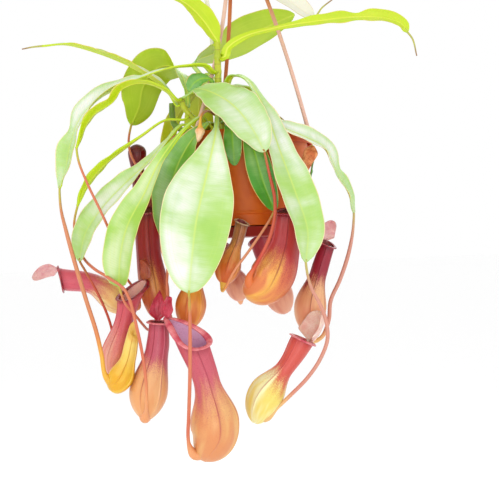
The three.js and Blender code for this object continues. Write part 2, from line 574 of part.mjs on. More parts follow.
const PITCHERS = {
  pitcher_far_left: { leaf: 'leaf_left_near', axis: [[-129, -40, -189], [-144, -40, -178], [-171, -40, -161],
    [-201, -40, -157]], front: [0, -0.3, -1], bulb: 15, waist: 11, mouth: 12, colour: 'pink',
    lid: { length: 26, half: 12, open: 75 },
    tendril: [[-176, -80, -30], [-166, -86, -56], [-154, -88, -83], [-145, -82, -107], [-139, -68, -130],
      [-134, -50, -155], [-124, -42, -173], [-120, -41, -185], [-122, -40, -192]] },
  pitcher_pink: { leaf: 'leaf_left_front', axis: [[-150, -68, -268], [-148, -68, -246],
    [-136, -68, -208], [-126, -68, -177]], front: [-0.8, -0.6, 0], bulb: 14, waist: 9.5, mouth: 12.5,
    colour: 'pink', rise: 16, lid: { length: 24, half: 10, open: 65 },
    tendril: [[-176, -63, -148], [-169, -62, -162], [-158, -62, -186], [-151, -54, -212],
      [-150, -48, -239], [-150, -50, -262], [-150, -60, -275], [-150, -67, -276]] },
  pitcher_young_left: { leaf: 'leaf_left_wave', closed: true, axis: [[-153, -97, -268],
    [-144, -97, -264], [-133, -95, -245], [-125, -93, -221]], front: [0.6, -1, 0], bulb: 12.5, waist: 8,
    mouth: 6.5, rise: 16, colour: 'young',
    tendril: [[-201, -58, -78], [-194, -72, -103], [-184, -84, -138], [-172, -92, -179],
      [-164, -96, -213], [-160, -98, -238], [-158, -98, -257]] },
  pitcher_lidded: { leaf: 'leaf_low_left', axis: [[-114, -86, -311], [-110, -86, -281], [-98, -86, -231],
    [-96, -86, -207]], front: [0.2, -1, 0], bulb: 19, waist: 9.5, mouth: 10, colour: 'red', rise: 8,
    lid: { length: 34, half: 10, open: 82 },
    tendril: [[-188, -52, -97], [-186, -46, -119], [-178, -57, -134], [-164, -77, -146], [-147, -93, -156],
      [-127, -112, -171], [-116, -118, -211], [-109, -122, -258], [-110, -112, -288], [-112, -102, -304],
      [-114, -92, -312]] },
  pitcher_front: { leaf: 'leaf_centre', axis: [[-50, -103, -353], [-37, -105, -322], [-46, -108, -269],
    [-60, -110, -228]], front: [0.9, -0.4, 0], bulb: 25, waist: 13, mouth: 17, bulbAt: 0.33,
    waistAt: 0.62, colour: 'red', rise: 22, neck: 5, lid: { length: 26, half: 13, open: 112 },
    tendril: [[-60, -126, -190], [-60, -141, -222], [-62, -139, -264], [-65, -131, -301],
      [-65, -121, -327], [-61, -112, -343], [-54, -106, -352]] },
  pitcher_orange_left: { leaf: 'leaf_left_long', axis: [[-102, -40, -204], [-102, -40, -182],
    [-108, -40, -134], [-109, -40, -88]], front: [-0.3, -1, 0], bulb: 16, waist: 12.5, mouth: 13,
    colour: 'red', rise: 8, lid: { length: 20, half: 11, open: 80 },
    tendril: [[-131, -92, -183], [-121, -86, -197], [-115, -76, -207], [-110, -62, -215],
      [-105, -49, -217], [-102, -41, -212]] },
  pitcher_orange_mid: { leaf: 'leaf_shaded', axis: [[-66, -60, -215], [-62, -60, -189], [-56, -60, -154],
    [-52, -62, -132]], front: [0.3, -1, 0], bulb: 17, waist: 8, mouth: 9.5, colour: 'orange',
    lid: { length: 20, half: 9, open: 80 },
    tendril: [[-84, -80, -142], [-86, -82, -170], [-84, -76, -198], [-78, -67, -216], [-68, -60, -222]] },
  pitcher_withered: { leaf: 'leaf_gap_right', axis: [[-25, -92, -167], [-18, -88, -145], [-8, -87, -121],
    [-3, -87, -104]], front: [0.5, -1, 0], bulb: 14, waist: 6.5, mouth: 7, colour: 'orange', rise: 5,
    tendril: [[27, -98, -101], [6, -108, -130], [-12, -112, -153], [-22, -106, -170], [-26, -95, -174]] },
  pitcher_rear_left: { leaf: 'leaf_rear_left', axis: [[-9, 66, -193], [-13, 66, -170], [-23, 68, -148],
    [-30, 70, -132]], front: [0.2, 1, 0], bulb: 15, waist: 8.5, mouth: 10, colour: 'pink',
    lid: { length: 20, half: 9, open: 80 },
    tendril: [[-45, 97, -140], [-34, 96, -179], [-20, 80, -198], [-9, 68, -201]] },
  pitcher_large_right: { leaf: 'leaf_upper_centre', axis: [[-3, -94, -180], [22, -92, -167],
    [41, -88, -131], [47, -84, -98]], front: [-0.5, -1, 0], bulb: 24, waist: 12, mouth: 12.5,
    bulbAt: 0.36, waistAt: 0.78, colour: 'red', lid: { length: 22, half: 11, open: 80 }, wing: 2.4,
    tendril: [[28, -111, -51], [33, -110, -78], [32, -113, -99], [24, -119, -122], [9, -120, -147],
      [-5, -112, -170], [-10, -99, -184]] },
  pitcher_right: { leaf: 'leaf_right_side', axis: [[70, -34, -229], [70, -36, -197], [80, -38, -156],
    [88, -39, -131]], front: [0.5, -1, 0], bulb: 16.5, waist: 9.5, mouth: 8.5, colour: 'red', rise: 6,
    lid: { length: 24, half: 8, open: 100 },
    tendril: [[120, -42, -116], [114, -40, -142], [104, -38, -169], [93, -36, -192], [90, -34, -214],
      [82, -34, -232], [73, -34, -236]] },
  pitcher_low_right: { leaf: 'leaf_right_drop', axis: [[3, -72, -320], [15, -72, -292], [46, -71, -252],
    [58, -70, -233]], front: [-0.85, -0.5, 0], bulb: 19, waist: 9.5, mouth: 12.5, bulbAt: 0.34,
    waistAt: 0.66, colour: 'red', rise: 12, lid: { length: 34, half: 13, open: 74 },
    tendril: [[65, -106, -162], [69, -100, -176], [77, -96, -192], [83, -93, -210], [84, -93, -230],
      [76, -89, -251], [62, -85, -273], [44, -80, -294], [26, -77, -312], [14, -74, -322], [6, -72, -326]] },
  pitcher_shaded_left: { leaf: 'leaf_broad_left', closed: true, axis: [[-117, 8, -80], [-118, 7, -58],
    [-121, 6, -35], [-121, 6, -20]], front: [0, -1, 0], bulb: 10, waist: 7.5, mouth: 9.5,
    colour: 'red',
    tendril: [[-130, 4, 0], [-126, -10, -20], [-114, -17, -43], [-104, -12, -66], [-107, 0, -83],
      [-116, 7, -87]] },
  pitcher_rear_right: { leaf: 'leaf_rear_centre', axis: [[46, 82, -211], [37, 80, -186], [24, 79.5, -149],
    [18, 79.5, -126]], front: [0, 1, 0], bulb: 18, waist: 10, mouth: 11.5, colour: 'red',
    lid: { length: 24, half: 11, open: 80 },
    tendril: [[34, 103, -146], [52, 104, -176], [63, 94, -204], [58, 85, -218], [49, 82, -220]] },
  pitcher_rear_far: { leaf: 'leaf_rear_far_left', axis: [[-84, 72, -142], [-84, 72, -122],
    [-86, 72, -100], [-88, 72, -86]], front: [-0.4, 1, 0], bulb: 11, waist: 7.5, mouth: 8.5,
    colour: 'pink', lid: { length: 17, half: 8, open: 80 },
    tendril: [[-102, 82, -72], [-106, 80, -108], [-98, 76, -140], [-87, 73, -149]] },
  pitcher_dry: { leaf: 'leaf_rear_right', closed: true, axis: [[62, -76, -60], [68, -74, -47],
    [74, -73, -36], [78, -73, -26]], front: [0, -1, 0], bulb: 7, waist: 6, mouth: 6.5, wing: 0.8,
    colour: 'dry',
    tendril: [[77, 4, -62], [76, -22, -70], [71, -50, -73], [64, -68, -72], [61, -76, -67]] },
};

// A bud whose blade never opened: its tendril comes straight from the stem
const BUD = {
  closed: true, axis: [[-43, -95, 1], [-44, -95, -7], [-46, -95, -14]], front: [0, -1, 0], rise: 0,
  bulb: 5.4, waist: 3.4, mouth: 1.6, wing: 0.4, colour: 'young', stem: 'main_stem', at: 15,
  tendril: [[-30, -53, 20], [-37, -76, 20], [-42, -91, 12]],
};

const mesh = (name, geometry, colour, roughness, metalness = 0) => {
  const material = new THREE.MeshStandardMaterial({ color: colour, roughness, metalness });
  material.name = `${name}_material`;
  const part = new THREE.Mesh(geometry, material);
  part.name = name;
  return part;
};

const plant = new THREE.Group();
plant.position.z = -RIM_DROP;
plant.add(mesh('pot', potBody(), COLOURS.pot, 0.35));
plant.add(mesh('saucer', saucerBody(), COLOURS.saucer, 0.35));
plant.add(mesh('soil', soilBody(Object.values(STEMS)), COLOURS.soil, 0.95));

for (const [name, stem] of Object.entries(STEMS)) {
  plant.add(mesh(name, stemBody(stem), stem.colour, 0.5));
}
for (const [name, leaf] of Object.entries(LEAVES)) {
  plant.add(mesh(name, leafBody(leaf), COLOURS[leaf.colour], 0.4));
}
for (const [name, pitcher] of Object.entries(PITCHERS)) {
  const leaf = LEAVES[pitcher.leaf];
  const from = { point: leaf.tip, direction: leaf.tipDirection };
  const body = pitcherBody({ ...pitcher, tendril: { from, route: pitcher.tendril } });
  plant.add(mesh(name, body, COLOURS[pitcher.colour], 0.4));
}

const budSeat = seatOnStem(STEMS[BUD.stem], BUD.at, BUD.tendril[0]);
const budFrom = { point: budSeat.base, direction: budSeat.out };
const budBody = pitcherBody({ ...BUD, tendril: { from: budFrom, route: BUD.tendril } });
plant.add(mesh('bud', budBody, COLOURS[BUD.colour], 0.4));

const hanging = new THREE.Group();
hanging.name = 'hanging_pitcher_plant';
hanging.add(mesh('hook', hookBody(), COLOURS.hanger, 0.35));
for (const [name, strand] of Object.entries(STRANDS)) {
  hanging.add(mesh(name, strandBody(strand), COLOURS.hanger, 0.35));
}
hanging.add(plant);

export default hanging;
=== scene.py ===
"""Dresses the hanging pitcher plant: blades with ribs and veins, pitchers with rolled lips and lids,
a moulded pot, bark in the soil, and the studio round it. Sizes in the tables are millimetres, with
heights measured from the top of the pot's rim, and everything is built in metres."""

import math

import bpy
import numpy as np
from mathutils import Matrix, Vector

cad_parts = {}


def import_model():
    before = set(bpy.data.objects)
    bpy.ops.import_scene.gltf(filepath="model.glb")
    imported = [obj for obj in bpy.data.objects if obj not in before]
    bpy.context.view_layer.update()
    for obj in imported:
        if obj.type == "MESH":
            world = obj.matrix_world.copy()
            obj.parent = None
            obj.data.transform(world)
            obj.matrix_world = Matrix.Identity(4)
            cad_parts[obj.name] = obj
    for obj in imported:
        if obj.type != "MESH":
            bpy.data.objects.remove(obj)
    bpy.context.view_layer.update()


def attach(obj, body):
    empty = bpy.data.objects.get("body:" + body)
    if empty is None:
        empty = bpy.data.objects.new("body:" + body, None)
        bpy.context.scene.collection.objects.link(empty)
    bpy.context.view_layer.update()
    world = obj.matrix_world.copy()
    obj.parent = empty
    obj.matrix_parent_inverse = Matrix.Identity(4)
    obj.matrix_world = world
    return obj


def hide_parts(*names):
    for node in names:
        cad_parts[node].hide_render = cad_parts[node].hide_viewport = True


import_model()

MM = 0.001
RIM_DROP = 282.0
SEED = 20
rng = np.random.default_rng(SEED)

# The camera stands level with the plant and is turned a little about its own axis
CAMERA_PLACE = (4.4, -1300.0, -414.0)
CAMERA_LENS = 81.4
CAMERA_TURN = -2.2
FLOOR_HEIGHT = -930.0
FLOOR_REACH = 40.0
MIDDLE = (-0.02, -0.02, -0.42)
WHITE = (1.0, 1.0, 1.0)
LIGHTS = {
    "key": dict(place=(-1.1, -1.5, 0.9), size=1.2, power=11.0, colour=(1.0, 0.98, 0.95)),
    "front": dict(place=(0.1, -2.0, -0.75), size=1.0, power=9.0, colour=WHITE),
    "fill": dict(place=(1.6, -1.2, 0.1), size=1.4, power=3.5, colour=WHITE),
    "back": dict(place=(0.4, 1.6, 0.7), size=1.2, power=7.0, colour=WHITE),
}

# The pot, its saucer and the soil
AXIS = 0.2
RIM_RADIUS = 81.0
RIM_DEPTH = 14.0
RIM_WALL = 1.6
RIM_UNDERSIDE = -2.2
NECK_RADIUS = 76.5
NECK_HEIGHT = -2.0
SEAM_HEIGHT = -90.0
SEAM_RADIUS = 67.0
SEAM_PROUD = 0.6
WALL_FOOT = -88.6
BASE_RADIUS = 65.0
POT_BASE = -105.0
POT_FLOOR = -103.0
WALL = 1.8
POT_CORNER = 0.9
POT_SIDES = 144
PEG_HOLE = 7.0
PEG_SHOULDER = 10.0
PEG_NECK = 6.5
PEG_BARB = 7.8
PEG_TIP = 5.5
PEG_HEIGHT = 2.4
PLAY = 0.4
SAUCER_BASE = -117.0
SAUCER_WALL = 1.6
SAUCER_RIM_RADIUS = 64.5
SAUCER_RIM_HEIGHT = POT_BASE - 1.2
SAUCER_FOOT_RADIUS = 59.0
SAUCER_CORNER = 0.8
SAUCER_SIDES = 120
SOIL_TOP = -8.0
SOIL_CROWN = 3.5
SOIL_FALL = 2.2
FALL_STARTS = 60
FALL_REACH = 14
SOIL_LUMP = 0.32
LUMP_SPACING = 22
SOIL_SIDES = 120
SOIL_RINGS = 40
BARK_CHIPS = 260
MOSS_TUFTS = 110

# The hanger; each strand has its angle round the pot, its lean to the sides and its plastic
HOOK_WIRE = 2.75
HOOK_BEND = 15.0
HUB_TOP = -38.0
HUB_BASE = -46.0
HUB_RADIUS = 9.0
HUB_CORNER = 1.2
HUB_SIDES = 60
STRAND_RADIUS = 2.3
SLOT_CIRCLE = 77.6
SLOT_WIDTH = 5.6
SLOT_DEPTH = 2.2
STRANDS = {
    "strand_right": (-9, (5, -1), "hanger_faded"),
    "strand_back": (111, (4, 3), "hanger_plastic"),
    "strand_left": (231, (9, 10), "hanger_pale"),
}

# Leaves and tendrils. A leaf sets out square to its stem, from a little inside the bark, and a tendril laps
# back into its leaf. A leaf has no waist where NO_WAIST puts it, past the tip.
STEM_SINK = 0.7
LEAF_LEAD = 5.0
TENDRIL_LEAD = 2.0
TENDRIL_LAP = 3.0
TENDRIL_SEAT = 0.12
TENDRIL_SIDES = 14
PETIOLE_HALF = 2.6
PETIOLE_THICK = 2.4
BLADE_THICK = 0.7
OPENING = 6.0
RIB_REACH = 1.3
TIP_HALF = 1.3
BARE_TIP_HALF = 0.7
CROWN_AT = 0.97
NO_WAIST = 2.0
WAIST_DEPTH = 0.5
WAIST_REACH = 0.05
NODE_SPACING = 16.0
LEAF_STEPS = 72
HALF_COLUMNS = [1, 0.985, 0.95, 0.88, 0.78, 0.66, 0.53, 0.4, 0.28, 0.18, 0.1, 0.05]
LEAF_COLUMNS = np.array(HALF_COLUMNS + [0] + [-u for u in reversed(HALF_COLUMNS)])

# Pitchers
WING_ANGLE = math.radians(29)
WING_REACH = math.radians(2.6)
WING_COLUMNS = (-33, -31, -29, -27, -25, 25, 27, 29, 31, 33)
PITCHER_RINGS = 61
INSIDE_RINGS = 30
DOME_RINGS = 10
PITCHER_DEPTH = 0.4
PITCHER_WALL = 0.9
PINCH = 0.085
LIP_TURNS = 180
LIP_SIDES = 12
LIP_RIBS = 90
LID_STEPS = 34
LID_HALF_THICK = 0.35
LID_COLUMNS = np.array([1, 0.96, 0.85, 0.65, 0.4, 0.2, 0.07, 0, -0.07, -0.2, -0.4, -0.65, -0.85, -0.96, -1])


def vec(*values):
    return np.array(values, float)


def unit(v):
    v = np.asarray(v, float)
    return v / np.linalg.norm(v)


def smooth(t):
    c = np.clip(t, 0.0, 1.0)
    return c * c * (3 - 2 * c)


def lerp(a, b, t):
    return a + (b - a) * t


def world(points):
    """Table millimetres, heights from the rim, to metres from the hook."""
    p = np.array(points, float)
    p[..., 2] -= RIM_DROP
    return p * MM


def columns(*values):
    """Columns side by side; a single number fills its column."""
    return np.column_stack(np.broadcast_arrays(*values))


def turns_round(sides, start=0.0):
    return np.linspace(start, start + 2 * math.pi, sides, endpoint=False)


class Curve:
    """A smooth route through points, read by its share of length."""

    PER_SPAN = 40
    STEP = 0.004

    def __init__(self, points):
        p = np.array(points, float)
        ends = [2 * p[0] - p[1], *p, 2 * p[-1] - p[-2]]
        spots = []
        for i in range(1, len(ends) - 2):
            p0, p1, p2, p3 = ends[i - 1:i + 3]
            d0, d1, d2 = [max(np.linalg.norm(b - a) ** 0.5, 1e-6)
                          for a, b in ((p0, p1), (p1, p2), (p2, p3))]
            t1 = ((p1 - p0) / d0 - (p2 - p0) / (d0 + d1) + (p2 - p1) / d1) * d1
            t2 = ((p2 - p1) / d1 - (p3 - p1) / (d1 + d2) + (p3 - p2) / d2) * d1
            for j in range(self.PER_SPAN + (i == len(ends) - 3)):
                t = j / self.PER_SPAN
                spots.append(p1 + t1 * t + (-3 * p1 + 3 * p2 - 2 * t1 - t2) * t ** 2
                             + (2 * p1 - 2 * p2 + t1 + t2) * t ** 3)
        self.spots = np.array(spots)
        steps = np.linalg.norm(np.diff(self.spots, axis=0), axis=1)
        self.reach = np.concatenate([[0], np.cumsum(steps)])
        self.length = self.reach[-1]

    def at(self, s):
        return np.array([np.interp(s * self.length, self.reach, self.spots[:, k]) for k in range(3)])

    def tangent(self, s):
        return unit(self.at(min(1, s + self.STEP)) - self.at(max(0, s - self.STEP)))


class Body:
    """Collects rings of points, with a material and two sets of coordinates for each."""

    def __init__(self):
        self.verts, self.share, self.size = [], [], []
        self.faces, self.slots = [], []

    def rings(self, rows, slot=0, ends=(False, False), slot_of=None):
        """Joins rows of (ring, share, size), and closes the ends that are asked for."""
        rings, share, size = [np.array(part, float) for part in zip(*rows)]
        count, n = rings.shape[:2]
        start = len(self.verts)
        stores = ((self.verts, rings), (self.share, share), (self.size, size))
        for store, part in stores:
            store += [tuple(p) for p in part.reshape(-1, 3)]
        for k in range(count - 1):
            for j in range(n):
                a = start + k * n + j
                b = start + k * n + (j + 1) % n
                self.faces.append((a, b, b + n, a + n))
                self.slots.append(slot_of(k, j) if slot_of else slot)
        for row, shown in ((0, ends[0]), (count - 1, ends[1])):
            if not shown:
                continue
            base, centre = start + row * n, len(self.verts)
            for store, part in stores:
                store.append(tuple(part[row].mean(0)))
            for j in range(n):
                a, b = base + j, base + (j + 1) % n
                self.faces.append((centre, b, a) if row == 0 else (centre, a, b))
                self.slots.append(slot)

    def dress(self, node, materials):
        """Builds the piece and puts it in the node's place."""
        name = f"fine_{node}"
        mesh = bpy.data.meshes.new(name)
        mesh.from_pydata(self.verts, [], self.faces)
        for label, data in (("share", self.share), ("size", self.size)):
            layer = mesh.attributes.new(label, "FLOAT_VECTOR", "POINT")
            layer.data.foreach_set("vector", np.array(data, float).ravel())
        for material in materials:
            mesh.materials.append(material)
        mesh.polygons.foreach_set("material_index", self.slots)
        mesh.polygons.foreach_set("use_smooth", [True] * len(mesh.polygons))
        mesh.update()
        piece = bpy.data.objects.new(name, mesh)
        bpy.context.scene.collection.objects.link(piece)
        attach(piece, "root")
        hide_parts(node)


# Materials

PAINT = 0.84


def srgb(red, green, blue):
    line = [v / 255 for v in (red, green, blue)]
    return tuple(PAINT * (v / 12.92 if v <= 0.04045 else ((v + 0.055) / 1.055) ** 2.4) for v in line) + (1.0,)


class Shader:
    """A node material, with short calls for the nodes used here. Its tone is the colour so far."""

    def __init__(self, name, roughness, coat=0.0, coat_roughness=0.2, sub=0.0, sub_scale=2.0, specular=0.5):
        self.material = bpy.data.materials.new(name)
        self.material.use_nodes = True
        self.tree = self.material.node_tree
        self.inputs = self.tree.nodes["Principled BSDF"].inputs
        self.tone = None
        for key, value in {"Roughness": roughness, "Coat Weight": coat, "Coat Roughness": coat_roughness,
                           "IOR": 1.45, "Specular IOR Level": specular, "Subsurface Weight": sub,
                           "Subsurface Radius": (1.0, 0.5, 0.25), "Subsurface Scale": sub_scale * MM}.items():
            self.inputs[key].default_value = value

    def feed(self, socket, value):
        if isinstance(value, bpy.types.NodeSocket):
            self.tree.links.new(value, socket)
        else:
            socket.default_value = value

    def put(self, kind, inputs=(), **props):
        node = self.tree.nodes.new(kind)
        for key, value in props.items():
            setattr(node, key, value)
        for key, value in dict(inputs).items():
            self.feed(node.inputs[key], value)
        return node

    def place(self):
        return self.put("ShaderNodeTexCoord").outputs["Object"]

    def parts(self, vector):
        node = self.put("ShaderNodeSeparateXYZ", {"Vector": vector})
        return [node.outputs[k] for k in "XYZ"]

    def split(self, label):
        return self.parts(self.put("ShaderNodeAttribute", attribute_name=label).outputs["Vector"])

    def math(self, operation, *values):
        return self.put("ShaderNodeMath", enumerate(values), operation=operation).outputs[0]

    def times(self, a, b):
        return self.math("MULTIPLY", a, b)

    def plus(self, a, b):
        return self.math("ADD", a, b)

    def off(self, value, centre):
        """How far a value is from a centre."""
        return self.math("ABSOLUTE", self.math("SUBTRACT", value, centre))

    def swing(self, value, amount):
        """A noise that runs from 0 to 1, made to swing about 0."""
        return self.times(self.math("SUBTRACT", value, 0.5), amount)

    def step(self, value, low, high):
        """0 below low and 1 above high, smooth between; the other way round if high is below low."""
        first, last = (1.0, 0.0) if high < low else (0.0, 1.0)
        return self.put("ShaderNodeMapRange", {
            "Value": value, "From Min": min(low, high), "From Max": max(low, high), "To Min": first,
            "To Max": last}, interpolation_type="SMOOTHSTEP").outputs["Result"]

    def noise(self, vector, scale, detail=3.0, rough=0.55, distortion=0.0):
        return self.put("ShaderNodeTexNoise", {"Vector": vector, "Scale": scale, "Detail": detail,
                                               "Roughness": rough, "Distortion": distortion}).outputs["Fac"]

    def stretched(self, scaled, detail, rough=0.55):
        """Noise over up to three (value, scale) pairs, which draws it out along one of them."""
        sides = dict(zip("XYZ", [self.times(value, scale) for value, scale in scaled]))
        return self.noise(self.put("ShaderNodeCombineXYZ", sides).outputs["Vector"], 1.0, detail, rough)

    def cells(self, vector, scale):
        return self.put("ShaderNodeTexVoronoi", {"Vector": vector, "Scale": scale}).outputs["Distance"]

    def paint(self, mask, tint, amount=None):
        """Lays a tint over the tone where the mask says."""
        factor = mask if amount is None else self.times(mask, amount)
        self.tone = self.put("ShaderNodeMix", {0: factor, 6: self.tone, 7: tint}, data_type="RGBA").outputs[2]

    def done(self, height, strength, distance, roughness=None):
        """Connects the tone, the bump and, if given, a roughness, and hands over the material."""
        bump = self.put("ShaderNodeBump", {"Height": height, "Strength": strength, "Distance": distance * MM})
        self.feed(self.inputs["Normal"], bump.outputs["Normal"])
        self.feed(self.inputs["Base Color"], self.tone)
        if roughness is not None:
            self.feed(self.inputs["Roughness"], roughness)
        return self.material


def blade_material(name, base, pale, deep, rib, margin, roughness, coat, sheen_share=0.5, vein=0.3):
    """Blade skin: bands of painted sheen, a painted highlight, with a greener rib and edge, fine side veins and a
    thin pale margin.
    """
    s = Shader(name, roughness, coat=coat, coat_roughness=0.3, sub=0.1, sub_scale=1.5)
    place = s.place()
    across, edge, along = s.split("size")
    _, share, _ = s.split("share")
    off_rib = s.math("ABSOLUTE", across)
    broad = s.noise(place, 15.0, 2.0, 0.45, 0.3)
    streaks = s.stretched([(across, 30.0), (along, 190.0)], 3.0, 0.6)
    sheen_pattern = s.plus(broad, s.swing(streaks, 0.16))
    # The painted sheen is kept off the edge and the base of the blade, which stay greener.
    sheen_free_edge = s.times(s.step(edge, 0.008, 0.001), 0.6)
    sheen_free_base = s.times(s.step(share, 0.42, 0.08), 0.8)
    bare = s.math("SUBTRACT", 1.0, s.math("MAXIMUM", sheen_free_edge, sheen_free_base))
    s.tone = base
    # Painted sheen: near-white patches of the sheen colour stand in for a highlight.
    s.paint(s.times(s.step(sheen_pattern, 0.5 - sheen_share * 0.28, 0.72 - sheen_share * 0.08), bare), pale)
    s.paint(s.step(s.noise(place, 34.0, 3.0, 0.5, 0.3), 0.48, 0.75), deep, 0.3)
    ribs = s.math("SINE", s.times(s.plus(along, s.times(off_rib, 0.3)), 2600.0))
    uneven = s.noise(place, 240.0, 2.0)
    veins = s.times(s.step(ribs, 0.1, 1.0), s.step(uneven, 0.35, 0.6))
    s.paint(veins, deep, vein * 0.4)
    for offset in (0.0085, 0.0125):
        s.paint(s.step(s.off(edge, offset), 0.0007, 0.0002), rib, 0.12)
    s.paint(s.step(off_rib, 0.006, 0.001), base, 0.35)
    strength = s.plus(0.35, s.times(s.step(share, 1.05, 0.3), 0.55))
    s.paint(s.times(s.step(off_rib, 0.0016, 0.0005), strength), rib)
    s.paint(s.step(edge, 0.001, 0.0003), margin)
    return s.done(s.plus(s.times(veins, -0.5), s.times(uneven, 0.5)), 0.12, 0.2,
                  s.plus(roughness - 0.06, s.times(broad, 0.14)))


def pitcher_material(name, bulb, tube, streak_and_lip_shade, warm, fade, spread, speckle=0.6):
    """Pitcher skin: the tube's colour thins out over the bulb in fine speckles, with a dark seam on each rib, and
    painted shade just under the lip.
    """
    s = Shader(name, 0.42, coat=0.18, coat_roughness=0.3, sub=0.12, sub_scale=2.5)
    place = s.place()
    round_x, round_y, share = s.split("share")
    fine = s.stretched([(round_x, 44.0), (round_y, 44.0), (share, 10.0)], 4.0, 0.6)
    wide = s.stretched([(round_x, 1.6), (round_y, 1.6), (share, 2.6)], 2.0)
    grain = s.noise(place, 950.0, 3.0, 0.7)
    drift = s.plus(s.swing(fine, 0.16), s.swing(wide, 0.4))
    level = s.plus(share, s.plus(drift, s.swing(grain, 0.4)))
    blush = s.step(level, fade - spread, fade + spread)
    s.tone = bulb
    s.paint(s.step(wide, 0.35, 0.65), warm)
    s.paint(blush, tube)
    dots = s.times(s.step(s.cells(place, 1000.0), 0.4, 0.15), s.step(grain, 0.4, 0.6))
    reach = s.step(s.plus(share, drift), fade - 2.4 * spread, fade + 0.1)
    s.paint(s.times(dots, s.times(reach, speckle)), streak_and_lip_shade)
    s.paint(s.times(s.step(fine, 0.48, 0.72), s.times(blush, 0.4)), streak_and_lip_shade)
    seam = s.step(s.off(round_x, math.cos(WING_ANGLE)), 0.022, 0.006)
    s.paint(s.times(seam, s.times(s.step(share, 0.05, 0.5), 0.7)), streak_and_lip_shade)
    # Painted shade: the top of the tube darkens towards the streak colour just under the lip.
    s.paint(s.step(share, 0.9, 0.99), streak_and_lip_shade, 0.5)
    return s.done(s.plus(s.times(fine, 0.5), s.times(grain, 0.5)), 0.16, 0.25,
                  s.plus(0.36, s.times(wide, 0.12)))


def lip_material(name, pale, dark):
    """The rolled lip: glossy, with fine ribs across it and darker bands round it."""
    s = Shader(name, 0.2, coat=0.5, coat_roughness=0.12, sub=0.1)
    angle, along, _ = s.split("size")
    ribs = s.math("SINE", s.times(angle, LIP_RIBS))
    s.tone = pale
    s.paint(s.step(s.stretched([(angle, 1.6), (along, 1.0)], 2.0), 0.42, 0.62), dark)
    s.paint(s.step(ribs, -0.2, 0.9), dark, 0.3)
    return s.done(ribs, 0.4, 0.25)


def inside_material(name, pale, deep):
    """The waxy inner wall, paler near the lip and speckled below."""
    s = Shader(name, 0.5, sub=0.15)
    _, _, share = s.split("share")
    place = s.place()
    s.tone = pale
    s.paint(s.step(share, 0.98, 0.55), deep)
    s.paint(s.step(s.noise(place, 500.0, 3.0), 0.5, 0.66), deep, 0.4)
    return s.done(s.noise(place, 900.0), 0.2, 0.15)


def lid_material(name, pale, mark):
    """The lid's skin: speckled and clouded, with fine veins that fan out."""
    s = Shader(name, 0.38, coat=0.2, sub=0.2)
    place = s.place()
    across, _, along = s.split("size")
    cloud = s.noise(place, 90.0, 3.0)
    fan = s.math("SINE", s.times(s.plus(s.times(s.math("ABSOLUTE", across), 1.2), s.times(along, 0.5)), 4200.0))
    s.tone = pale
    s.paint(s.step(s.noise(place, 650.0, 3.0, 0.7), 0.5, 0.62), mark, 0.55)
    s.paint(s.step(cloud, 0.35, 0.75), mark)
    s.paint(s.step(fan, 0.3, 1.0), mark, 0.22)
    return s.done(s.plus(s.times(fan, 0.4), cloud), 0.3, 0.25)


def tendril_material(name, start, middle, end, base=None):
    """A tendril runs from the leaf's green to coral, and to the pitcher's own colour."""
    s = Shader(name, 0.42, coat=0.12, sub=0.1)
    round_x, round_y, share = s.split("share")
    fine = s.stretched([(round_x, 3.0), (round_y, 3.0), (share, 60.0)], 3.0)
    level = s.plus(share, s.swing(s.noise(s.place(), 45.0, 3.0), 0.3))
    s.tone = start
    s.paint(s.step(level, 0.0, 0.16), middle)
    s.paint(s.step(level, 0.55, 0.95), end)
    s.paint(s.step(fine, 0.5, 0.75), end, 0.35)
    if base:
        s.paint(s.step(share, 0.74, 0.88), base)
    return s.done(fine, 0.2, 0.25)


def stem_material(name, light, dark, scar):
    """A stem's skin, with a scar where each old leaf was and flecks between."""
    s = Shader(name, 0.42, coat=0.12, sub=0.1)
    place = s.place()
    _, along, _ = s.split("size")
    cloud = s.noise(place, 70.0, 4.0)
    wave = s.math("SINE", s.times(along, math.pi / NODE_SPACING / MM))
    ring = s.step(s.math("ABSOLUTE", wave), 0.12, 0.03)
    s.tone = light
    s.paint(s.step(cloud, 0.35, 0.7), dark)
    s.paint(ring, scar, 0.6)
    s.paint(s.step(s.noise(place, 420.0, 2.0), 0.6, 0.72), scar, 0.35)
    return s.done(s.plus(cloud, s.times(ring, -0.6)), 0.35, 0.5)


def plastic_material(name, light, deep, roughness, coat, foot=None):
    """Moulded plastic: faint flow marks, fine scuffs and a little dust, and a foot that is paler below a set height.
    """
    s = Shader(name, roughness, coat=coat, coat_roughness=0.25, sub=0.06, sub_scale=3.0, specular=0.3)
    place = s.place()
    flow = s.noise(place, 18.0, 3.0, 0.5, 0.8)
    scuff = s.noise(place, 480.0, 3.0, 0.7)
    s.tone = light
    s.paint(s.step(flow, 0.3, 0.75), deep)
    if foot:
        s.paint(s.step(s.parts(place)[2], -0.1, -0.19), foot)
    s.paint(s.step(scuff, 0.56, 0.8), srgb(214, 150, 110), 0.06)
    return s.done(s.plus(s.times(flow, 0.6), s.times(scuff, 0.25)), 0.12, 0.3,
                  s.plus(roughness - 0.05, s.times(scuff, 0.16)))


def soil_material():
    s = Shader("soil_mix", 0.95)
    place = s.place()
    grain = s.noise(place, 260.0, 5.0, 0.65)
    clump = s.cells(place, 160.0)
    s.tone = srgb(38, 27, 19)
    s.paint(s.step(grain, 0.35, 0.7), srgb(92, 68, 46))
    s.paint(s.step(clump, 0.5, 0.2), srgb(24, 17, 12), 0.4)
    return s.done(s.plus(grain, s.times(clump, 0.8)), 0.8, 1.6)


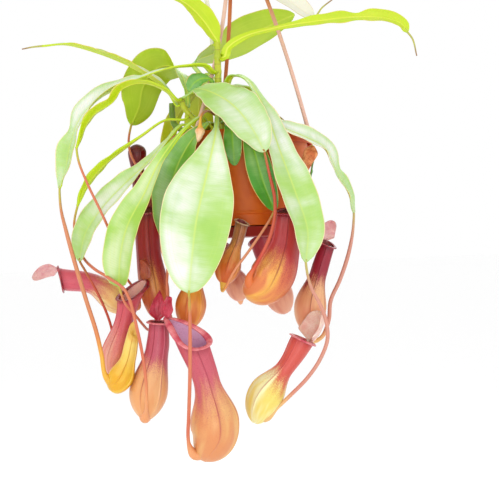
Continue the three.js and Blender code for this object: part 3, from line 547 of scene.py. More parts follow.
def grainy_material(name, roughness, grain, span, dark, light, strength, spots=None):
    """Bark, moss or dead skin: two colours mixed by one noise, and perhaps spots of a third."""
    s = Shader(name, roughness)
    place = s.place()
    noise = s.noise(place, *grain)
    s.tone = srgb(*dark)
    s.paint(s.step(noise, *span), srgb(*light))
    if spots:
        s.paint(s.step(s.noise(place, 520.0, 3.0), 0.56, 0.66), srgb(*spots), 0.4)
    return s.done(noise, strength, 0.8)


def palette(make, label, rows):
    """One material for each row; the triples in a row are its colours."""
    return {key: make(label + key, *[srgb(*v) if isinstance(v, tuple) else v for v in row])
            for key, row in rows.items()}


# Blades: base, painted sheen (a painted highlight), deeper patches, rib, margin; roughness, coat, share of the
# painted sheen, strength of the veins
BLADES = palette(blade_material, "blade_", {
    "pale": ((172, 214, 102), (240, 243, 234), (138, 198, 72), (208, 228, 110), (246, 226, 178), 0.34, 0.3, 0.7),
    "fresh": ((160, 208, 66), (212, 230, 172), (118, 180, 34), (210, 228, 92), (236, 220, 150), 0.36, 0.3, 0.4),
    # mid and dark are darker greens for leaves that sit in shade: painted shade.
    "mid": ((118, 182, 44), (186, 214, 168), (52, 132, 26), (176, 210, 70), (232, 210, 130), 0.36, 0.25, 0.5),
    "dark": ((74, 156, 24), (150, 196, 110), (28, 108, 22), (150, 200, 50), (226, 196, 110), 0.36, 0.25, 0.2),
    # under and olive: the underside's own yellow-green, brightened to stand in for light shining through the leaf, a
    # painted glow.
    "under": ((196, 222, 10), (212, 230, 60), (168, 204, 8), (230, 238, 80), (224, 214, 90), 0.46, 0.1, 0.5, 0.1),
    "olive": ((178, 212, 12), (192, 220, 50), (150, 194, 10), (226, 238, 80), (208, 206, 84), 0.46, 0.1, 0.5, 0.1),
    "cream": ((232, 232, 206), (240, 238, 224), (214, 222, 176), (236, 232, 200), (232, 214, 180),
              0.42, 0.15, 0.7, 0.1),
})
# Tendrils: at the leaf, along the way, at the bend, on the pitcher
TENDRILS = palette(tendril_material, "tendril_", {
    "coral": ((190, 190, 60), (214, 120, 84), (210, 96, 70), (236, 160, 104)),
    "tan": ((196, 190, 80), (214, 138, 96), (226, 136, 66), (238, 180, 60)),
    "rose": ((190, 186, 96), (214, 148, 128), (216, 130, 108), (238, 190, 120)),
    "red": ((178, 120, 50), (196, 80, 50), (206, 56, 40), (226, 120, 60)),
    "bare": ((186, 204, 70), (190, 190, 90), (160, 120, 80)),
})
# Pitchers: bulb, tube, streaks (also the painted shade under the lip), warm patches; where the colours meet, over
# what reach, strength of the speckles
SKINS = palette(pitcher_material, "skin_", {
    "front": ((234, 178, 110), (208, 92, 108), (164, 34, 62), (226, 146, 90), 0.54, 0.2, 0.85),
    "lidded": ((240, 182, 124), (200, 84, 104), (156, 28, 56), (236, 166, 104), 0.54, 0.12, 0.7),
    "pink": ((240, 176, 152), (214, 84, 96), (170, 22, 48), (236, 150, 130), 0.46, 0.3),
    "young": ((242, 196, 52), (244, 216, 110), (214, 140, 20), (234, 172, 20), 0.6, 0.3, 0.1),
    "left": ((248, 220, 152), (214, 88, 104), (184, 36, 60), (244, 200, 120), 0.5, 0.2),
    "orange": ((236, 156, 60), (214, 96, 86), (180, 44, 52), (216, 116, 40), 0.66, 0.16),
    "deep": ((244, 170, 90), (172, 34, 40), (112, 8, 22), (214, 110, 50), 0.4, 0.16),
    "withered": ((232, 154, 78), (186, 118, 70), (96, 54, 30), (214, 100, 30), 0.62, 0.12, 0.9),
    "rear": ((228, 160, 128), (178, 44, 60), (136, 16, 38), (214, 134, 106), 0.5, 0.16),
    "large": ((242, 178, 76), (188, 52, 56), (140, 14, 32), (224, 128, 70), 0.44, 0.2),
    "right": ((242, 184, 134), (160, 24, 50), (112, 6, 30), (232, 150, 108), 0.56, 0.12),
    "low": ((248, 244, 184), (216, 88, 74), (184, 34, 44), (240, 218, 104), 0.52, 0.12, 0.4),
    # The ball is near-black red all over: painted shade for a pitcher that sits in shadow.
    "ball": ((140, 16, 22), (124, 10, 18), (84, 4, 12), (176, 48, 24), 0.3, 0.2),
    "bud": ((238, 160, 84), (246, 218, 170), (214, 120, 70), (236, 170, 96), 0.3, 0.3, 0.2),
})
SKINS["dry"] = grainy_material("dry_skin", 0.8, (80.0, 4.0, 0.6, 1.0), (0.35, 0.65), (196, 104, 54),
                               (244, 164, 106), 0.5, spots=(96, 48, 24))
LIPS = palette(lip_material, "lip_", {
    "pink": ((240, 140, 144), (212, 72, 92)),
    "red": ((176, 40, 58), (134, 16, 36)),
    "cream": ((232, 206, 168), (196, 130, 96)),
})
INSIDES = palette(inside_material, "inside_", {
    "lilac": ((232, 184, 216), (200, 122, 164)),
    "cream": ((255, 240, 224), (240, 180, 164)),
    "blush": ((250, 190, 180), (224, 138, 130)),
    "dark": ((150, 60, 60), (84, 20, 24)),
})
LIDS = palette(lid_material, "lid_", {
    "crimson": ((222, 72, 98), (182, 30, 58)),
    "rose": ((244, 206, 200), (226, 150, 154)),
    "dark": ((176, 52, 50), (126, 20, 24)),
    "peach": ((246, 216, 198), (236, 170, 152)),
    "rust": ((204, 104, 66), (170, 60, 40)),
})
BARKS = palette(stem_material, "stem_", {
    "live": ((196, 204, 40), (166, 190, 34), (150, 130, 60)),
    "aged": ((140, 172, 50), (112, 148, 40), (140, 116, 70)),
})
PLASTICS = palette(plastic_material, "", {
    "pot_plastic": ((226, 106, 4), (186, 52, 4), 0.46, 0.06),
    "saucer_plastic": ((160, 40, 26), (130, 24, 20), 0.46, 0.06),
    "hanger_plastic": ((216, 124, 66), (190, 96, 46), 0.42, 0.1),
    "hanger_faded": ((216, 118, 54), (200, 100, 46), 0.42, 0.1, (236, 190, 170)),
    "hanger_pale": ((236, 196, 178), (222, 164, 140), 0.42, 0.1),
})


# Stems and leaves

STEMS = {
    "main_stem": dict(
        radius=4.0, bark="live", slot="stem",
        points=[[-20, -38, -36], [-20, -38, -3], [-21, -38, 20], [-23, -40, 52], [-23, -41, 82], [-23, -42, 100]]),
    "side_shoot": dict(
        radius=3.2, bark="live", slot="stem",
        points=[[-35, -42, -34], [-35, -42, -16], [-35, -42, -3], [-41, -47, 6], [-52, -49, 16], [-61, -51, 27],
                [-65, -50, 39]]),
    "cut_stem": dict(
        radius=3.4, bark="aged", slot="stem_old",
        points=[[-53, -26, -34], [-53, -26, -16], [-53, -26, -3], [-59, -25, 3], [-68, -24, 7], [-75, -22, 13],
                [-77, -22, 24], [-77, -22, 37]]),
}
for stem in STEMS.values():
    stem["curve"] = Curve(world(stem["points"]))

# What a leaf has unless its row says otherwise. A row has the height at which it leaves the stem, unless
# it grows from the stem's tip; its half width; the way its face looks at both ends; and its route.
LEAF = dict(stem="main_stem", petiole=0.12, widest=0.55, taper=0.8, stalk=PETIOLE_HALF, waist=NO_WAIST,
            fold=0.25, wave=0.0, under="under")
LEAVES = {
    "leaf_top_left": dict(
        half=16, petiole=0.05, widest=0.35, taper=0.5, blunt=0.6, stalk=4.2, fold=0.35, over="under",
        face=[[0.5, -0.8, 0.4], [0.3, -0.3, 0.8]],
        route=[[-28, -44, 110], [-38, -46, 125], [-53, -48, 141], [-77, -51, 155], [-107, -55, 164],
               [-135, -58, 166]]),
    "leaf_top_arch": dict(
        at=100, half=17, petiole=0.3, widest=0.7, blunt=0.38, fold=0.3, over="cream",
        face=[[-0.6, -0.2, 0.6], [0.3, -0.8, 0.5]],
        route=[[-30, -35, 132], [-33, -32, 160], [-24, -29, 184], [1, -28, 192], [26, -27, 175],
               [50, -26, 154], [72, -24, 138], [87, -22, 127]],
        bare=[[97, -20, 139], [109, -18, 148]]),
    "leaf_back_right": dict(
        at=38, half=28, petiole=0.3, widest=0.68, blunt=0.6, fold=0.2, over="fresh", under="olive",
        face=[[-0.6, -0.2, 0.7], [-0.15, 0.8, 0.6]],
        route=[[-34, -30, 53], [-44, -14, 70], [-52, 8, 84], [-48, 34, 95], [-30, 60, 106], [-6, 80, 120],
               [34, 92, 141], [71, 97, 157]]),
    "leaf_long_right": dict(
        at=83, half=12.5, petiole=0.1, widest=0.82, taper=0.45, blunt=0.5, stalk=5.5, waist=0.73, fold=0.3,
        wave=1.5, over="under", under="olive", face=[[0, -0.7, 0.7], [0.2, -0.8, 0.6]],
        route=[[-11, -42, 93], [8, -42, 105], [42, -42, 113], [92, -45, 119], [130, -48, 121],
               [162, -48, 119], [182, -46, 112], [189, -45, 103]],
        bare=[[195, -42, 95], [199, -40, 77]]),
    "leaf_left_wave": dict(
        at=66, half=20, petiole=0.34, widest=0.6, blunt=0.5, stalk=4.8, waist=0.74, fold=0.35, wave=2.5,
        over="pale", face=[[0, 0, 1], [-0.8, -0.7, 0.1]],
        route=[[-37, -50, 73], [-59, -54, 73], [-82, -57, 70], [-106, -59, 62], [-127, -58, 53],
               [-150, -54, 44], [-168, -50, 31], [-181, -47, 15], [-187, -45, 0], [-191, -46, -13],
               [-195, -48, -33], [-203, -50, -56]]),
    "leaf_left_near": dict(
        stem="side_shoot", at=36, half=10, widest=0.6, stalk=4, fold=0.3, over="under",
        face=[[0, 0, 1], [-0.9, 0.3, 0.3]],
        route=[[-80, -62, 46], [-97, -72, 53], [-112, -77, 53], [-127, -79, 47], [-138, -79, 33],
               [-157, -78, 22], [-168, -77, 9], [-174, -76, -4], [-179, -74, -15]]),
    "leaf_broad_left": dict(
        stem="side_shoot", at=27, half=27, petiole=0.16, widest=0.64, blunt=0.56, fold=0.15, over="fresh",
        under="olive", face=[[0, 0.35, 0.9], [-0.5, 0.85, 0.2]],
        route=[[-62, -20, 62], [-74, 0, 82], [-95, 12, 83], [-112, 16, 63], [-118, 14, 38], [-127, 10, 18]]),
    "leaf_far_left": dict(
        stem="side_shoot", at=32, half=12, petiole=0.1, widest=0.5, fold=0.4, over="pale",
        face=[[0, 0, 1], [0.1, -0.2, 1]],
        route=[[-82, -40, 52], [-102, -34, 67], [-127, -32, 82], [-160, -34, 96], [-193, -38, 105],
               [-218, -40, 104]],
        bare=[[-229, -41, 103], [-240, -42, 101]]),
    "leaf_low_left": dict(
        stem="side_shoot", at=20, half=7, petiole=0.16, widest=0.75, fold=0.3, over="fresh",
        face=[[0, 0, 1], [-0.6, 0.5, 0.6]],
        route=[[-83, -56, 14], [-108, -62, -2], [-141, -67, -25], [-161, -70, -44], [-175, -70, -63],
               [-181, -68, -77]]),
    "leaf_left_front": dict(
        stem="side_shoot", at=7, half=19.5, petiole=0.14, widest=0.7, blunt=0.34, over="pale",
        face=[[-0.2, -0.4, 1], [-0.6, -0.7, 0.3]],
        route=[[-63, -54, 9], [-82, -64, -10], [-103, -71, -33], [-128, -72, -55], [-152, -70, -78],
               [-173, -66, -106], [-182, -64, -137]]),
    "leaf_left_long": dict(
        stem="side_shoot", at=4, half=21, petiole=0.16, widest=0.78, taper=0.6, blunt=0.34, fold=0.3,
        over="fresh", face=[[-0.2, -0.5, 1], [-0.45, -0.8, 0.3]],
        route=[[-42, -68, 14], [-54, -85, 6], [-70, -97, -12], [-88, -101, -36], [-105, -102, -69],
               [-124, -101, -102], [-133, -98, -134], [-136, -94, -166]]),
    "leaf_shaded": dict(
        at=-1, half=21, petiole=0.2, widest=0.62, blunt=0.6, fold=0.2, over="mid", under="olive",
        face=[[0, -0.5, 1], [-0.3, -0.9, 0.1]],
        route=[[-32, -66, 8], [-39, -79, 4], [-57, -78, -16], [-73, -74, -45], [-82, -72, -85],
               [-83, -74, -123]]),
    "leaf_centre": dict(
        at=28, half=38, petiole=0.2, widest=0.64, taper=1.2, blunt=0.5, fold=0.22, over="pale",
        face=[[0, -0.4, 1], [0, -1, 0.15]],
        route=[[-25, -70, 15], [-27, -96, -7], [-33, -104, -33], [-42, -108, -67], [-50, -111, -98],
               [-56, -112, -135], [-61, -112, -175]]),
    "leaf_upper_centre": dict(
        stem="side_shoot", at=38, half=29, widest=0.5, blunt=0.5, fold=0.15, over="pale",
        face=[[0.1, -0.5, 0.9], [0.3, -0.9, 0.35]],
        route=[[-46, -62, 46], [-23, -80, 36], [-3, -98, 18], [14, -110, -8], [24, -114, -30]]),
    "leaf_right_drop": dict(
        at=46, half=22, petiole=0.14, widest=0.74, taper=0.5, blunt=0.62, stalk=5.5, fold=0.3, over="pale",
        face=[[0, 0, 1], [0.45, -0.9, 0.2]],
        route=[[-8, -52, 60], [8, -66, 54], [26, -82, 20], [42, -96, -32], [56, -106, -76],
               [66, -110, -113], [63, -110, -147]]),
    "leaf_right_side": dict(
        at=31, half=15, petiole=0.14, widest=0.6, taper=0.6, waist=0.78, fold=0.35, over="pale", slot="leaf",
        face=[[0.1, -0.4, 0.9], [0.8, -0.5, 0.3]],
        route=[[0, -34, 35], [22, -53, 20], [43, -72, 1], [71, -67, -12], [91, -58, -23], [103, -52, -48],
               [117, -46, -74], [122, -44, -95]]),
    "leaf_gap_right": dict(
        at=19, half=14, petiole=0.25, widest=0.7, blunt=0.5, fold=0.2, over="dark", under="olive",
        face=[[0, -0.4, 1], [0, -1, 0.1]],
        route=[[-4, -68, 13], [5, -84, 4], [13, -92, -25], [22, -93, -60], [33, -92, -91]]),
    "leaf_gap_left": dict(
        at=11, half=10, petiole=0.3, widest=0.7, blunt=0.5, fold=0.15, over="dark", under="olive",
        face=[[0, -0.4, 1], [0, -1, 0.1]],
        route=[[-15, -66, 9], [-10, -84, 0], [-9, -89, -20], [-8, -89, -41]]),
    "leaf_small_round": dict(
        at=53, half=10, petiole=0.25, widest=0.65, fold=0.15, over="dark", under="olive",
        face=[[-0.1, -0.6, 0.8], [-0.1, -0.95, 0.2]],
        route=[[-32, -48, 58], [-41, -51, 59], [-50, -53, 54], [-56, -54, 45]]),
    "leaf_rear_left": dict(
        at=55, half=19, petiole=0.16, widest=0.6, over="fresh", face=[[0, 0.3, 1], [-0.1, 1, 0.1]],
        route=[[-35, 0, 72], [-45, 36, 66], [-50, 72, 40], [-52, 92, -7], [-49, 96, -68], [-45, 94, -115]]),
    "leaf_rear_centre": dict(
        at=43, half=21, petiole=0.16, widest=0.6, over="pale", face=[[0.1, 0.3, 1], [0.1, 1, 0.1]],
        route=[[-4, 0, 58], [10, 40, 52], [19, 76, 30], [24, 95, -22], [27, 98, -77], [28, 95, -121]]),
    "leaf_rear_far_left": dict(
        at=33, half=12, petiole=0.2, widest=0.6, fold=0.3, over="fresh",
        face=[[-0.3, 0.3, 1], [-0.6, 0.7, 0.1]],
        route=[[-42, -4, 52], [-62, 36, 46], [-80, 62, 26], [-90, 76, -8], [-93, 80, -49]]),
    "leaf_rear_right": dict(
        at=26, half=17, petiole=0.16, over="dark", under="olive", face=[[0.3, 0.2, 1], [0.9, 0.3, 0.1]],
        route=[[0, 0, 40], [24, 28, 28], [52, 50, 10], [74, 56, -8], [82, 46, -30], [79, 26, -50]]),
}


def seat_on_stem(stem, height, toward):
    """Where a leaf that heads for a point leaves the stem, and the way square to the stem."""
    curve = stem["curve"]
    level = (height - RIM_DROP) * MM
    shares = np.linspace(0, 1, 201)
    share = shares[np.argmin([abs(curve.at(s)[2] - level) for s in shares])]
    axis, tangent = curve.at(share), curve.tangent(share)
    out = world(toward) - axis
    out = unit(out - tangent * out.dot(tangent))
    return axis + out * stem["radius"] * MM * STEM_SINK, out


def leaf_width(leaf):
    """Half width, in metres, for a share of the leaf's length."""
    petiole, taper, stalk = leaf["petiole"], leaf["taper"], leaf["stalk"]
    blunt = leaf.get("blunt", taper)
    power = math.log(0.5) / math.log((leaf["widest"] - petiole) / (1 - petiole))

    def width(s):
        if s <= petiole:
            return stalk * MM
        t = (s - petiole) / (1 - petiole)
        share = t ** power
        blade = leaf["half"] * max(0.0, math.sin(math.pi * share)) ** (taper if share < 0.5 else blunt)
        blade *= 1 - WAIST_DEPTH * math.exp(-((s - leaf["waist"]) / WAIST_REACH) ** 2)
        return max(lerp(stalk, TIP_HALF, smooth(t * 1.6)), blade) * MM
    return width


def blade_row(centre, side, normal, u, width, top, bottom, s, length, margin=0.0):
    """A ring of a two-sided blade: over its upper face from edge to edge, and back under the lower one."""
    flat = centre + np.outer(u * width, side)
    ring = np.concatenate([flat + np.outer(top, normal), (flat + np.outer(bottom, normal))[::-1]])
    both = np.concatenate([u, u[::-1]])
    return ring, columns(both, s, 0), columns(both * width, (1 - np.abs(both)) * width + margin, s * length)


def make_leaf(node, leaf):
    """One leaf with its petiole. Gives its tip and the way it points there, for the tendril."""
    stem = STEMS[leaf["stem"]]
    if "at" in leaf:
        base, out = seat_on_stem(stem, leaf["at"], leaf["route"][0])
    else:
        base, out = stem["curve"].at(CROWN_AT), stem["curve"].tangent(CROWN_AT)
    curve = Curve([base, base + out * LEAF_LEAD * MM, *world(leaf["route"])])
    face_base, face_tip = [unit(f) for f in leaf["face"]]
    width_at = leaf_width(leaf)
    fold, wave = leaf["fold"], leaf["wave"] * MM
    phase = rng.uniform(0, 2 * math.pi, 4)  # two are used; all four keep the later draws as they are
    ripple = rng.uniform(0.5, 1.1) * MM
    u = LEAF_COLUMNS
    rows = []
    for s in np.linspace(0, 1, LEAF_STEPS + 1):
        tangent = curve.tangent(s) if s > 0 else out
        face = lerp(face_base, face_tip, smooth(s))
        normal = unit(face - tangent * face.dot(tangent))
        width = width_at(s)
        opened = float(smooth((width - PETIOLE_HALF * MM) / (OPENING * MM)))
        thick = lerp(PETIOLE_THICK, BLADE_THICK, opened) * MM
        ripples = (np.sin(2 * math.pi * 3.4 * s + phase[0] + 1.3 * np.sign(u))
                   + 0.6 * np.sin(2 * math.pi * 7.7 * s + phase[1] + 2.1 * np.sign(u)))
        lift = (width * fold * opened * (0.65 * np.abs(u) + 0.35 * u * u)
                + wave * u * u * opened * np.sin(2 * math.pi * (2 * s + np.where(u > 0, 0.2, 0.55)))
                + ripple * u ** 4 * opened * ripples)
        rib = np.exp(-(u * width / (RIB_REACH * MM)) ** 2) * opened * lerp(1.0, 0.35, s)
        top = lift + thick / 2 - 0.35 * MM * rib
        bottom = lift - thick / 2 * np.sqrt(1 - 0.8 * u ** 6) - MM * rib
        rows.append(blade_row(curve.at(s), np.cross(normal, tangent), normal, u, width, top, bottom, s,
                              curve.length, (1 - opened) * 5 * MM))
    body = Body()
    body.rings(rows, ends=(True, True), slot_of=lambda k, j: int(j >= len(u)))
    tip, heading = curve.at(1.0), curve.tangent(1.0)
    materials = [BLADES[leaf["over"]], BLADES[leaf["under"]]]
    if "bare" in leaf:
        route = [tip - heading * LEAF_LEAD * MM, tip, *world(leaf["bare"])]
        add_tube(body, route, lambda t: lerp(TIP_HALF, BARE_TIP_HALF, t) * MM, 10, 2)
        materials.append(TENDRILS["bare"])
    body.dress(node, materials)
    return tip, heading


def add_tube(body, route, radius_at, sides, slot, step=1.6 * MM):
    """A round tube through a route, with closed ends, whose sides are carried along without twisting."""
    curve = Curve(route)
    shares = np.linspace(0, 1, max(8, int(curve.length / step)) + 1)
    angles = turns_round(sides)
    side = vec(1, 0, 0) if abs(curve.tangent(0)[0]) < 0.8 else vec(0, 1, 0)
    rows = []
    for s in shares:
        tangent = curve.tangent(s)
        side = unit(side - tangent * side.dot(tangent))
        up = np.cross(tangent, side)
        radius = radius_at(s)
        ring = curve.at(s) + radius * (np.outer(np.cos(angles), side) + np.outer(np.sin(angles), up))
        rows.append((ring, columns(np.cos(angles), np.sin(angles), s), columns(angles, s * curve.length, radius)))
    body.rings(rows, slot=slot, ends=(True, True))


def make_stem(node, stem):
    """A stem swells at each node, and its tip is drawn in a little."""
    length = stem["curve"].length

    def radius(s):
        place = s * length
        knob = math.exp(-((place % (NODE_SPACING * MM) - NODE_SPACING / 2 * MM) / (2.2 * MM)) ** 2)
        buried = smooth((place - 24 * MM) / (8 * MM))
        tip = 1 - 0.35 * smooth((s - 0.96) / 0.2)
        return stem["radius"] * MM * (0.95 + 0.14 * knob * buried) * tip

    body = Body()
    add_tube(body, world(stem["points"]), radius, 20, 0, step=0.9 * MM)
    body.dress(node, [BARKS[stem["bark"]]])


# Pitchers

# What a pitcher has unless its row says otherwise. A row has its axis from the bulb to the mouth, the way
# its front looks, its radii, and its tendril from the leaf's tip to the bulb.
PITCHER = dict(closed=False, bulb_at=0.3, waist_at=0.68, point=0.55, wing=1.6, neck=0, dip=0, dome=0.62,
               cord=1.45, lip="red", inside="dark", string="coral", slot="pitcher_red")
LID = dict(turn=0, fold=0.0, pointed=False)
PITCHERS = {
    "pitcher_far_left": dict(
        leaf="leaf_left_near", axis=[[-129, -40, -194], [-144, -40, -183], [-171, -40, -163], [-202, -40, -157]],
        front=[0, -0.3, -1], bulb=15, waist=11, mouth=12, rise=11,
        lid=dict(length=31, half=9, open=60, turn=36, skin="rose"),
        tendril=[[-176, -80, -30], [-166, -86, -56], [-154, -88, -83], [-145, -82, -107], [-139, -68, -130],
                 [-134, -50, -155], [-124, -42, -173], [-120, -41, -185], [-122, -40, -192]],
        skin="left", slot="pitcher_pink"),
    "pitcher_pink": dict(
        leaf="leaf_left_front", axis=[[-150, -68, -268], [-148, -68, -246], [-136, -68, -208], [-126, -68, -177]],
        front=[-0.8, -0.6, 0], bulb=14, waist=9.5, mouth=12.5, rise=21, dip=8,
        lid=dict(length=24, half=10, open=65, skin="rust"),
        tendril=[[-176, -63, -148], [-169, -62, -162], [-158, -62, -186], [-151, -54, -212],
                 [-150, -48, -239], [-150, -50, -262], [-150, -60, -275], [-150, -67, -276]],
        skin="pink", inside="blush", string="red", slot="pitcher_pink"),
    "pitcher_young_left": dict(
        leaf="leaf_left_wave", closed=True,
        axis=[[-151, -97, -273], [-142, -97, -268], [-131, -95, -248], [-124, -93, -222]],
        front=[0.6, -1, 0], bulb=13.5, waist=8, mouth=6.5, rise=16, cord=2.3,
        tendril=[[-201, -58, -78], [-194, -72, -103], [-184, -84, -138], [-172, -92, -179],
                 [-162, -96, -213], [-157, -98, -238], [-154, -98, -259]],
        skin="young", string="tan", slot="pitcher_young"),
    "pitcher_lidded": dict(
        leaf="leaf_low_left", axis=[[-114, -86, -311], [-110, -86, -281], [-98, -86, -231], [-96, -86, -207]],
        front=[0.2, -1, 0], bulb=20.6, waist=12.5, mouth=10.5, waist_at=0.74, rise=2.5, point=0.75, cord=1.7,
        lid=dict(length=34, half=10, open=84, pointed=True, skin="crimson"),
        tendril=[[-188, -52, -97], [-186, -46, -119], [-178, -57, -134], [-164, -77, -146], [-147, -93, -156],
                 [-127, -112, -171], [-116, -118, -211], [-109, -122, -258], [-110, -112, -288],
                 [-112, -100, -300], [-114, -91, -307]],
        skin="lidded", lip="pink"),
    "pitcher_front": dict(
        leaf="leaf_centre", axis=[[-54, -103, -352], [-40, -105, -324], [-46, -108, -269], [-60, -110, -228]],
        front=[0.68, -0.73, 0], bulb=26, waist=14, mouth=17, bulb_at=0.33, waist_at=0.66, rise=34, dip=7,
        neck=10, roll=3.8, cord=1.9, lid=dict(length=26, half=8, open=58, skin="crimson"),
        tendril=[[-60, -126, -190], [-60, -141, -222], [-62, -139, -264], [-65, -131, -301],
                 [-67, -123, -324], [-66, -115, -336], [-61, -109, -345]],
        skin="front", lip="pink", inside="lilac"),
    "pitcher_orange_left": dict(
        leaf="leaf_left_long", axis=[[-102, -40, -204], [-102, -40, -182], [-108, -40, -134], [-109, -40, -88]],
        front=[-0.3, -1, 0], bulb=16.5, waist=13.5, mouth=13, rise=8,
        lid=dict(length=20, half=11, open=80, skin="dark"),
        tendril=[[-131, -92, -183], [-121, -86, -197], [-115, -76, -207], [-110, -62, -215],
                 [-105, -49, -217], [-102, -41, -212]],
        skin="deep"),
    "pitcher_orange_mid": dict(
        leaf="leaf_shaded", axis=[[-66, -60, -215], [-62, -60, -189], [-56, -60, -154], [-52, -62, -132]],
        front=[0.3, -1, 0], bulb=17, waist=8, mouth=9.5, lid=dict(length=20, half=9, open=80, skin="rust"),
        tendril=[[-84, -80, -142], [-86, -82, -170], [-84, -76, -198], [-78, -67, -216], [-68, -60, -222]],
        skin="orange", lip="pink", slot="pitcher_orange"),
    "pitcher_withered": dict(
        leaf="leaf_gap_right", axis=[[-25, -92, -167], [-18, -88, -145], [-8, -87, -121], [-3, -87, -104]],
        front=[0.5, -1, 0], bulb=14, waist=6.5, mouth=7, rise=5,
        tendril=[[27, -98, -101], [6, -108, -130], [-12, -112, -153], [-22, -106, -170], [-26, -95, -174]],
        skin="withered", lip="cream", string="tan", slot="pitcher_orange"),
    "pitcher_rear_left": dict(
        leaf="leaf_rear_left", axis=[[-9, 66, -193], [-13, 66, -170], [-23, 68, -148], [-30, 70, -132]],
        front=[0.2, 1, 0], bulb=15, waist=8.5, mouth=10, lid=dict(length=20, half=9, open=80, skin="rose"),
        tendril=[[-45, 97, -140], [-26, 99, -168], [-14, 94, -188], [-9, 78, -196]],
        skin="rear", inside="cream", slot="pitcher_pink"),
    "pitcher_large_right": dict(
        leaf="leaf_upper_centre", axis=[[-3, -94, -180], [22, -92, -167], [41, -88, -131], [47, -84, -98]],
        front=[-0.5, -1, 0], bulb=24, waist=16, mouth=14, bulb_at=0.36, waist_at=0.8, cord=1.9, wing=2.4,
        lid=dict(length=22, half=11, open=80, skin="dark"),
        tendril=[[28, -111, -51], [33, -110, -78], [32, -113, -99], [25, -118, -122], [13, -117, -144],
                 [3, -108, -162]],
        skin="large", string="red"),
    "pitcher_right": dict(
        leaf="leaf_right_side", axis=[[70, -34, -229], [70, -36, -197], [82, -38, -156], [91, -39, -131]],
        front=[0.5, -1, 0], bulb=18, waist=9.5, mouth=8.5, rise=6, cord=2.3,
        lid=dict(length=24, half=10, open=88, skin="rose"),
        tendril=[[120, -42, -116], [114, -40, -142], [104, -38, -169], [93, -36, -192], [90, -34, -214],
                 [82, -34, -232], [73, -34, -236]],
        skin="right", string="rose"),
    "pitcher_low_right": dict(
        leaf="leaf_right_drop", axis=[[3, -72, -320], [15, -72, -292], [46, -71, -252], [58, -70, -233]],
        front=[-0.85, -0.5, 0], bulb=19, waist=9.5, mouth=12.5, bulb_at=0.34, waist_at=0.66, rise=3.5,
        cord=2.1, lid=dict(length=36, half=15, open=84, fold=0.9, skin="peach"),
        tendril=[[65, -106, -162], [69, -100, -176], [77, -96, -192], [83, -93, -210], [84, -93, -230],
                 [76, -89, -251], [62, -85, -271], [44, -80, -289], [27, -78, -304], [15, -75, -313]],
        skin="low", lip="pink", inside="cream", string="rose"),
    "pitcher_shaded_left": dict(
        leaf="leaf_broad_left", closed=True,
        axis=[[-117, 8, -80], [-118, 7, -58], [-121, 6, -35], [-121, 6, -15]],
        front=[0, -1, 0], bulb=10, waist=7.5, mouth=10.6, rise=0, dome=0.95,
        tendril=[[-130, 4, 0], [-126, -10, -20], [-114, -17, -43], [-104, -12, -66], [-107, 0, -83],
                 [-116, 7, -87]],
        skin="ball"),
    "pitcher_rear_right": dict(
        leaf="leaf_rear_centre", axis=[[46, 82, -211], [37, 80, -186], [24, 79.5, -149], [18, 79.5, -126]],
        front=[0, 1, 0], bulb=18, waist=10, mouth=11.5, lid=dict(length=24, half=11, open=80, skin="crimson"),
        tendril=[[34, 103, -146], [46, 106, -172], [51, 102, -192], [50, 93, -206]],
        skin="rear", inside="cream"),
    "pitcher_rear_far": dict(
        leaf="leaf_rear_far_left", axis=[[-84, 72, -142], [-84, 72, -122], [-86, 72, -100], [-88, 72, -86]],
        front=[-0.4, 1, 0], bulb=11, waist=7.5, mouth=8.5, lid=dict(length=17, half=8, open=80, skin="rose"),
        tendril=[[-102, 82, -72], [-106, 80, -108], [-98, 76, -140], [-87, 73, -149]],
        skin="pink", lip="pink", inside="cream", string="tan", slot="pitcher_pink"),
    "pitcher_dry": dict(
        leaf="leaf_rear_right", closed=True,
        axis=[[56, -76, -66], [62, -75, -53], [69, -74, -41], [74, -74, -31]],
        front=[0, -1, 0], bulb=4.8, waist=6, mouth=7.8, wing=0.8, rise=6,
        tendril=[[77, 4, -62], [76, -22, -70], [67, -50, -77], [59, -68, -78], [55, -76, -73]],
        skin="dry", string="tan", slot="pitcher_dry"),
}

BUD_SEAT = 15
BUD = dict(
    closed=True, axis=[[-43, -95, 1], [-44, -95, -7], [-46, -95, -14]], front=[0, -1, 0], rise=0, bulb=5.4,
    waist=3.4, mouth=1.6, wing=0.4, tendril=[[-30, -53, 20], [-37, -76, 20], [-42, -91, 12]],
    skin="bud", string="tan", slot="pitcher_young")

# Angles round a pitcher from its front, closer together at the two ribs
ANGLES = np.array(sorted(set(np.round(np.concatenate([turns_round(64, -math.pi), np.radians(WING_COLUMNS)]), 4))))


def pitcher_radius(p):
    bulb, waist, mouth = p["bulb"] * MM, p["waist"] * MM, p["mouth"] * MM
    bulb_at, waist_at = p["bulb_at"], p["waist_at"]

    def radius(s):
        if s < bulb_at:
            return bulb * (1 - 0.95 * ((bulb_at - s) / bulb_at) ** 2) ** p["point"]
        if s < waist_at:
            return lerp(bulb, waist, smooth((s - bulb_at) / (waist_at - bulb_at)))
        return lerp(waist, mouth, smooth((s - waist_at) / (1 - waist_at)))
    return radius


def ring_points(stand, angles, radius, shift, rise, neck, dip, drawn=1.0):
    """A pitcher's cross-section: its back rises into the neck, and its front dips."""
    centre, tangent, front, left = stand
    back = (1 - np.cos(angles)) * 0.5
    reach = radius + neck * back ** 4 * drawn
    aside = reach * np.sin(angles) * (1 - PINCH * neck / MM * back ** 2 * drawn)
    lift = shift + rise * back ** 1.25 - dip * (1 - back) * drawn
    return centre + np.outer(reach * np.cos(angles), front) + np.outer(aside, left) + np.outer(lift, tangent)


